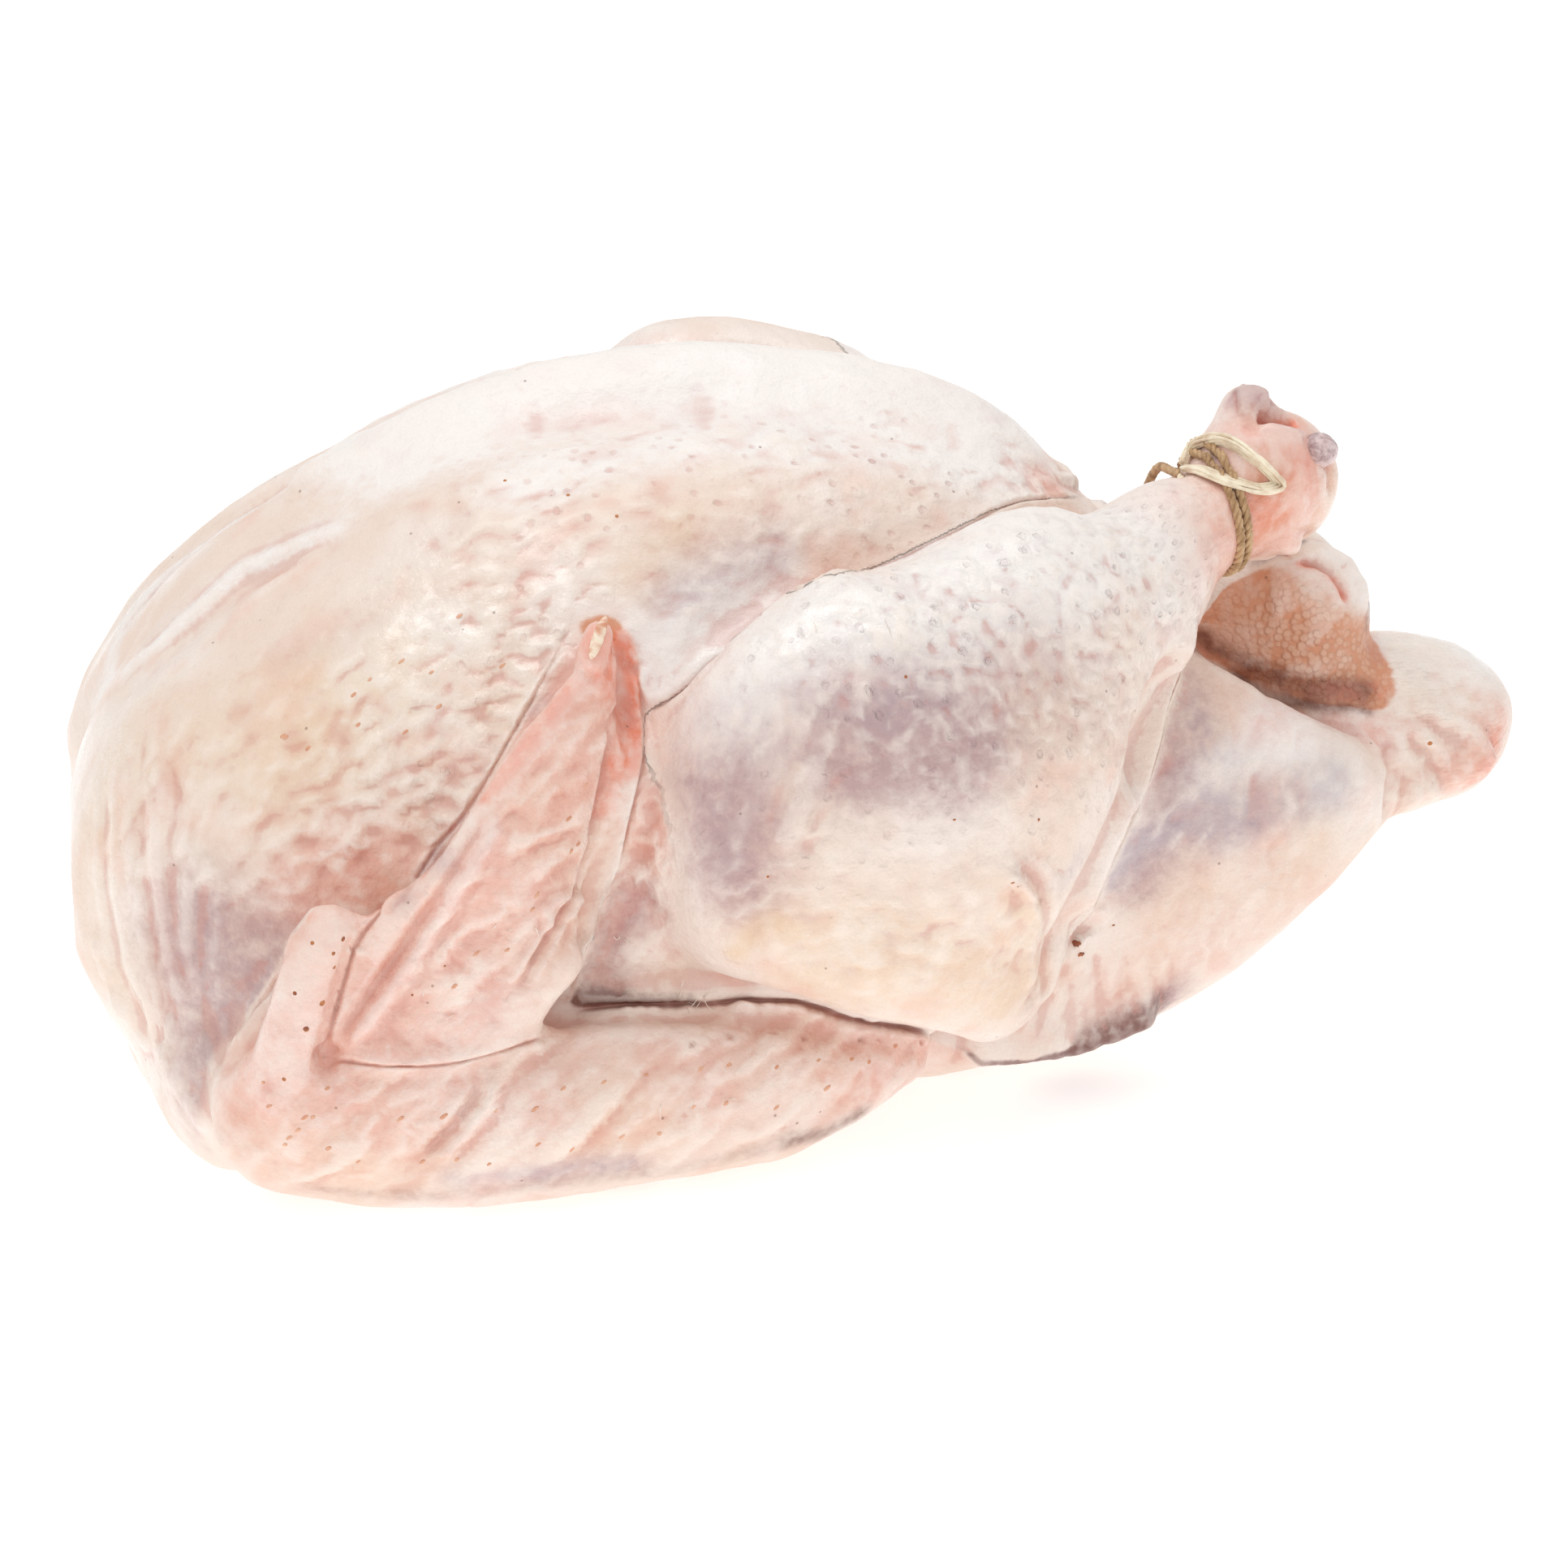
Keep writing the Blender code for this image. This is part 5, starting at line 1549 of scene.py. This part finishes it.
def piece_of(name, mesh, finish, slot, *replaced):
    """A finished piece that rides on the body, with smooth faces."""
    data = bpy.data.meshes.new(name)
    bmesh.ops.recalc_face_normals(mesh, faces=mesh.faces)
    mesh.to_mesh(data)
    mesh.free()
    data.polygons.foreach_set("use_smooth", [True] * len(data.polygons))
    data.materials.append(finish)
    obj = placed(name, data)
    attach(obj, BODY)
    if replaced:
        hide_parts(*replaced)


def skin_tree():
    return surface_of(bpy.data.objects["bird_skin"].data)


def spot_on_skin(tree, mark):
    """The place under a mark, the skin's normal there, and its directions to the right and up the frame."""
    place, normal, _, _ = tree.ray_cast(*sight(mark))
    if place is None:
        raise RuntimeError(f"no skin under the mark {mark}")
    right = view_axes()[0]
    right = (right - normal * right.dot(normal)).normalized()
    return place, normal, right, normal.cross(right)


def from_cm(point):
    """A point given in centimetres from the bird's middle."""
    return Vector(point) * CM + MIDDLE


def ring_middle(tree, offset):
    """The middle line of one turn of the tie, between the two walls that rays from its axis meet."""
    middle = from_cm(TIE_CENTRE) + TIE_AXIS * offset * CM
    side = TIE_AXIS.cross(Vector((0, 0, 1))).normalized()
    across = TIE_AXIS.cross(side)
    path = []
    for k in range(TIE_STEPS):
        angle = 2 * math.pi * k / TIE_STEPS
        way = side * math.cos(angle) + across * math.sin(angle)
        inner = tree.ray_cast(middle, way)
        if inner[0] is None:
            continue
        outer = tree.ray_cast(inner[0] + way * WALL_LIFT, way)
        if outer[0] is None or (outer[0] - inner[0]).length > THICKEST_TIE:
            continue
        path.append((inner[0] + outer[0]) / 2)
    return path


def lead_middle(tree, points, radius):
    """The middle line of a lead of the twine, found from the nearest wall of the solid."""
    path = []
    for point in rounded_path([from_cm(p) for p in points], LEAD_STEP):
        near, normal, _, _ = tree.find_nearest(point)
        path.append(near - normal * radius)
    smooth = path[:]
    for _ in range(LEAD_EVENING):
        for i in range(1, len(path) - 1):
            smooth[i] = (path[i - 1] + path[i] * 2 + path[i + 1]) / 4
        path = smooth[:]
    return even_path(path, TWINE_STEP)


def bow_middle(tree):
    """The middle line of the flat bow, a little above the ankle's skin."""
    path = []
    for mark in BOW:
        place, normal, _, _ = spot_on_skin(tree, mark)
        path.append(place + normal * BOW_LIFT)
    return even_path(rounded_path(path, TWINE_STEP), TWINE_STEP)


# ---------------------------------------------------------------- operators, one for each group of pieces


class TURKEY_OT_skin(bpy.types.Operator):
    """Makes the bird's skin: its folds, wrinkles, pits and patches of colour, with painted shade in its
    creases and gaps and painted highlight on its crests
    """

    bl_idname = "turkey.skin"
    bl_label = "Skin"

    def execute(self, context):
        settings = context.scene.turkey_skin
        obj = skin_object(settings)
        skin = Skin(obj.data)
        chance = random.Random(11)
        for cleft in CLEFTS.values():
            skin.close_up(*cleft)
        for side, width, depth, marks in RELIEF.values():
            skin.press(side, width, depth, marks)
        for field in WRINKLES.values():
            skin.wrinkle(*field)
        for side, bump, hole, spacing, marks in BUMP_ROWS.values():
            skin.row(side, bump, hole, spacing, marks, chance)
        for mask, patches in PAINT.items():
            for side, radius, strength, marks in patches.values():
                skin.paint(mask, side, radius, strength, marks)
        crinkle = skin.masks["crinkle"]
        skin.rise += settings.swell * unevenness(skin.places, SWELLS_PER_METRE, 1)
        skin.rise += settings.lump * unevenness(skin.places, LUMPS_PER_METRE, 2) * (0.5 + crinkle)
        skin.rise += GRAIN_HEIGHT * unevenness(skin.places, GRAINS_PER_METRE, 3) * (0.4 + crinkle)
        skin.settle()
        for name, parts in PAINT_SETS.items():
            store(obj.data, name, np.stack([skin.masks[part] for part in parts], axis=1))
        # how far each point stands out or sinks in, which the material paints as highlight and shade
        crest = -cavity(obj.data, skin.places, skin.normals)
        store(obj.data, "depths", np.stack([skin.hollow, crest, np.clip(skin.crease, -1, 1)], axis=1))
        store(obj.data, "rows", feather_rows(skin.places, skin.leg))
        obj.data.materials.clear()
        obj.data.materials.append(skin_finish(settings))
        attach(obj, BODY)
        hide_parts("bird")
        return {"FINISHED"}


class TURKEY_OT_twine(bpy.types.Operator):
    """Winds the twine round the ankles, with its knot, its bow and its loose fibres"""

    bl_idname = "turkey.twine"
    bl_label = "Twine"

    def execute(self, context):
        settings = context.scene.turkey_twine
        chance = random.Random(5)
        tree = surface_of(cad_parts["twine"].data)
        mesh = bmesh.new()
        for offset in TIE_TURNS:
            path = ring_middle(tree, offset)
            path = even_path(rounded_path(path + path[:2], TWINE_STEP), TWINE_STEP)
            self.add_cord(mesh, path, settings, chance)
        self.add_cord(mesh, lead_middle(tree, LEAD, LEAD_RADIUS), settings, chance)
        wet = twine_finish("wet_twine", settings.tan, tone(160, 122, 82))
        piece_of("twine_cord", mesh, wet, "twine", "twine")
        bow = bmesh.new()
        loop = bow_middle(skin_tree())
        self.add_bow(bow, loop)
        add_fibres(bow, loop, settings.fibres, BOW_FIBRE_LENGTH, chance)
        self.add_knot(bow, tree.find_nearest(from_cm(KNOT))[0], settings)
        dry = twine_finish("dry_twine", settings.cream, tone(226, 204, 176))
        piece_of("twine_bow", bow, dry, "twine")
        return {"FINISHED"}

    def add_cord(self, mesh, path, settings, chance):
        """Laid twine with a third of the loose fibres."""
        add_twisted(mesh, path, settings.ply, settings.pitch)
        add_fibres(mesh, path, settings.fibres // 3, FIBRE_LENGTH, chance)

    def add_bow(self, mesh, loop):
        """Strands side by side that make the flat, frayed loop."""
        frames = frames_along(loop)
        half = BOW_STRANDS // 2
        for number in range(BOW_STRANDS):
            lift = (number - half) / half
            strand = []
            for i, (point, (side, up)) in enumerate(zip(loop, frames)):
                spread = BOW_SPREAD * lift * (0.35 + 0.65 * math.sin(math.pi * i / len(loop)))
                wave = 0.35 * MM * noise.noise(point * 260 + Vector((number * 4.1, 0, 0)))
                sway = side * 0.5 * MM * math.cos(number * 2.1 + i * 0.09)
                strand.append(point + up * (spread + wave) + sway)
            add_tube(mesh, strand, [0.44 * MM] * len(strand), 7)

    def add_knot(self, mesh, middle, settings):
        """Small turns of thinner twine, each tilted against the last."""
        for number in range(KNOT_TURNS):
            tilt = Quaternion(KNOT_AXIS, number * 1.1)
            ring = []
            for k in range(KNOT_STEPS + 1):
                angle = 2 * math.pi * k / KNOT_STEPS
                spot = Vector((math.cos(angle) * 1.5, math.sin(angle) * 1.9, 0.3 * number))
                ring.append(middle + tilt @ spot * MM)
            add_twisted(mesh, even_path(ring, TWINE_STEP), settings.ply * 0.8, settings.pitch)


class TURKEY_OT_joints(bpy.types.Operator):
    """Sets the gristle and the bone ends in the cut joints and the wing tips"""

    bl_idname = "turkey.joints"
    bl_label = "Joints"

    def execute(self, context):
        tree = skin_tree()
        grey = bmesh.new()
        place, normal, right, up = spot_on_skin(tree, GRISTLE_MARK)
        axes = half_axes(GRISTLE_AXES, right, up, normal)
        add_blob(grey, place + right * GRISTLE_SHIFT, axes, 0.08, 1.0, 1)
        gristle = gristle_finish("gristle", tone(222, 200, 198), tone(162, 132, 132), 0.8)
        piece_of("hock_gristle", grey, gristle, "bird")
        bones = bmesh.new()
        place, normal, right, up = spot_on_skin(tree, BONE_MARK)
        axes = half_axes(BONE_AXES, right, up + right * BONE_LEAN, normal)
        add_blob(bones, place + normal * BONE_LIFT, axes, 0.05, 1.0, 3)
        place, normal = tree.find_nearest(mirrored(place))[:2]
        side = normal.orthogonal().normalized()
        axes = half_axes(BONE_AXES, side, normal.cross(side), normal)
        add_blob(bones, place + normal * BONE_LIFT, axes, 0.05, 1.0, 4)
        bone = gristle_finish("bone", tone(246, 228, 206), tone(216, 150, 116), 0.4)
        piece_of("wing_bone", bones, bone, "bird")
        return {"FINISHED"}


class TURKEY_OT_traces(bpy.types.Operator):
    """Adds the small traces of plucking: scabs, open pores, follicles and fine white hairs"""

    bl_idname = "turkey.traces"
    bl_label = "Traces of plucking"

    def execute(self, context):
        tree = skin_tree()
        chance = random.Random(29)
        scabs = bmesh.new()
        for number, (mark, size) in enumerate(SCABS):
            place, normal, right, up = spot_on_skin(tree, mark)
            axes = (right * size * MM, up * size * 0.6 * MM, normal * size * 0.25 * MM)
            add_blob(scabs, place, axes, 0.5, 2.2, number, rounds=3)
        for number, (mark, size) in enumerate(PORES):
            place, normal, right, up = spot_on_skin(tree, mark)
            axes = half_axes((size, size, 0.1), right, up, normal)
            add_blob(scabs, place, axes, 0.2, 1.6, number, rounds=3)
        follicles = bmesh.new()
        for guide, count, spread in FOLLICLE_LINES:
            for number in range(count):
                x, y = along_guide(guide, (number + 0.5) / count)
                mark = (x + chance.uniform(-spread, spread), y + chance.uniform(-spread, spread))
                place, normal, right, up = spot_on_skin(tree, mark)
                long_way = (right * 0.8 + up * 0.6) * chance.uniform(0.6, 1.1) * MM
                short_way = (up * 0.8 - right * 0.6) * chance.uniform(0.35, 0.5) * MM
                axes = (long_way, short_way, normal * 0.12 * MM)
                add_blob(follicles, place, axes, 0.2, 1.6, number, rounds=2)
        follicle = gristle_finish("follicle", tone(236, 178, 146), tone(220, 150, 116), 0.3)
        piece_of("follicles", follicles, follicle, "bird")
        scab = gristle_finish("scab", tone(196, 120, 66), tone(140, 70, 40), 0.2)
        piece_of("scabs", scabs, scab, "bird")
        hairs = bmesh.new()
        for mark, spread, length, count in HAIRS:
            for _ in range(count):
                x = mark[0] + chance.uniform(-spread, spread)
                y = mark[1] + chance.uniform(-spread, spread) * 0.4
                place, normal, right, up = spot_on_skin(tree, (x, y))
                way = right * chance.uniform(-1, 1) + up * chance.uniform(-1, 1)
                way = (way + normal * chance.uniform(0.1, 0.5)).normalized()
                bend = (right * chance.uniform(-1, 1) + up * chance.uniform(-1, 1)) * 0.5
                reach = length * MM * chance.uniform(0.6, 1.1)
                stem = [place + way * reach * t + bend * reach * t * t + normal * HAIR_LIFT for t in STEM]
                add_tube(hairs, stem, HAIR_RADII, 5)
        hair = gristle_finish("hair", tone(255, 252, 246), tone(236, 220, 200), 0.2)
        piece_of("stray_hairs", hairs, hair, "bird")
        return {"FINISHED"}


class TURKEY_OT_stage(bpy.types.Operator):
    """Sets the pale table, the soft light and the camera"""

    bl_idname = "turkey.stage"
    bl_label = "Stage"

    def execute(self, context):
        scene = context.scene
        settings = scene.turkey_stage
        mesh = bmesh.new()
        bmesh.ops.create_grid(mesh, x_segments=2, y_segments=2, size=settings.floor_size / 2)
        data = bpy.data.meshes.new("floor")
        mesh.to_mesh(data)
        mesh.free()
        data.materials.append(table_finish(settings.floor, settings.glow))
        floor = placed("floor", data)
        floor.location.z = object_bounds()[0][2] - FLOOR_GAP
        floor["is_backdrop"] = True
        world = bpy.data.worlds.new("white_room")
        world.use_nodes = True
        sky = world.node_tree.nodes["Background"]
        sky.inputs["Color"].default_value = (1.0, 1.0, 1.0, 1.0)
        sky.inputs["Strength"].default_value = settings.sky
        scene.world = world
        for name, place, size, power in LAMPS:
            light = bpy.data.lights.new(name, "AREA")
            light.shape = "DISK"
            light.size = size
            light.energy = getattr(settings, power)
            lamp = bpy.data.objects.new(name, light)
            scene.collection.objects.link(lamp)
            lamp.location = place
            lamp.rotation_euler = (place - LAMP_AIM).to_track_quat("Z", "Y").to_euler()
        view = bpy.data.cameras.new("view")
        view.lens, view.sensor_width = LENS, SENSOR
        view.clip_start, view.clip_end = CLIP
        camera = bpy.data.objects.new("view", view)
        scene.collection.objects.link(camera)
        back = view_axes()[2]
        camera.location = VIEW_TARGET + back * VIEW_DISTANCE
        camera.rotation_euler = (-back).to_track_quat("-Z", "Y").to_euler()
        scene.camera = camera
        scene.view_settings.view_transform = "Standard"
        return {"FINISHED"}


PIECES = (TURKEY_OT_skin, TURKEY_OT_twine, TURKEY_OT_joints, TURKEY_OT_traces, TURKEY_OT_stage)


class TURKEY_PT_pieces(bpy.types.Panel):
    """Lists the pieces of the turkey"""

    bl_idname = "TURKEY_PT_pieces"
    bl_label = "Whole raw turkey"
    bl_space_type = "VIEW_3D"
    bl_region_type = "UI"
    bl_category = "Turkey"

    def draw(self, context):
        for piece in PIECES:
            self.layout.operator(piece.bl_idname)
        for group in (context.scene.turkey_skin, context.scene.turkey_twine, context.scene.turkey_stage):
            box = self.layout.box()
            for name in group.bl_rna.properties.keys():
                if name not in ("rna_type", "name"):
                    box.prop(group, name)


SETTINGS = {"turkey_skin": SkinSettings, "turkey_twine": TwineSettings, "turkey_stage": StageSettings}
CLASSES = (*SETTINGS.values(), *PIECES, TURKEY_PT_pieces)


def register():
    for made in CLASSES:
        bpy.utils.register_class(made)
    for name, group in SETTINGS.items():
        setattr(bpy.types.Scene, name, bpy.props.PointerProperty(type=group))


def unregister():
    for name in SETTINGS:
        delattr(bpy.types.Scene, name)
    for made in reversed(CLASSES):
        bpy.utils.unregister_class(made)


def main():
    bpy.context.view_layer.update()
    register()
    bpy.ops.turkey.skin()
    bpy.ops.turkey.twine()
    bpy.ops.turkey.joints()
    bpy.ops.turkey.traces()
    bpy.ops.turkey.stage()


if __name__ == "__main__":
    main()
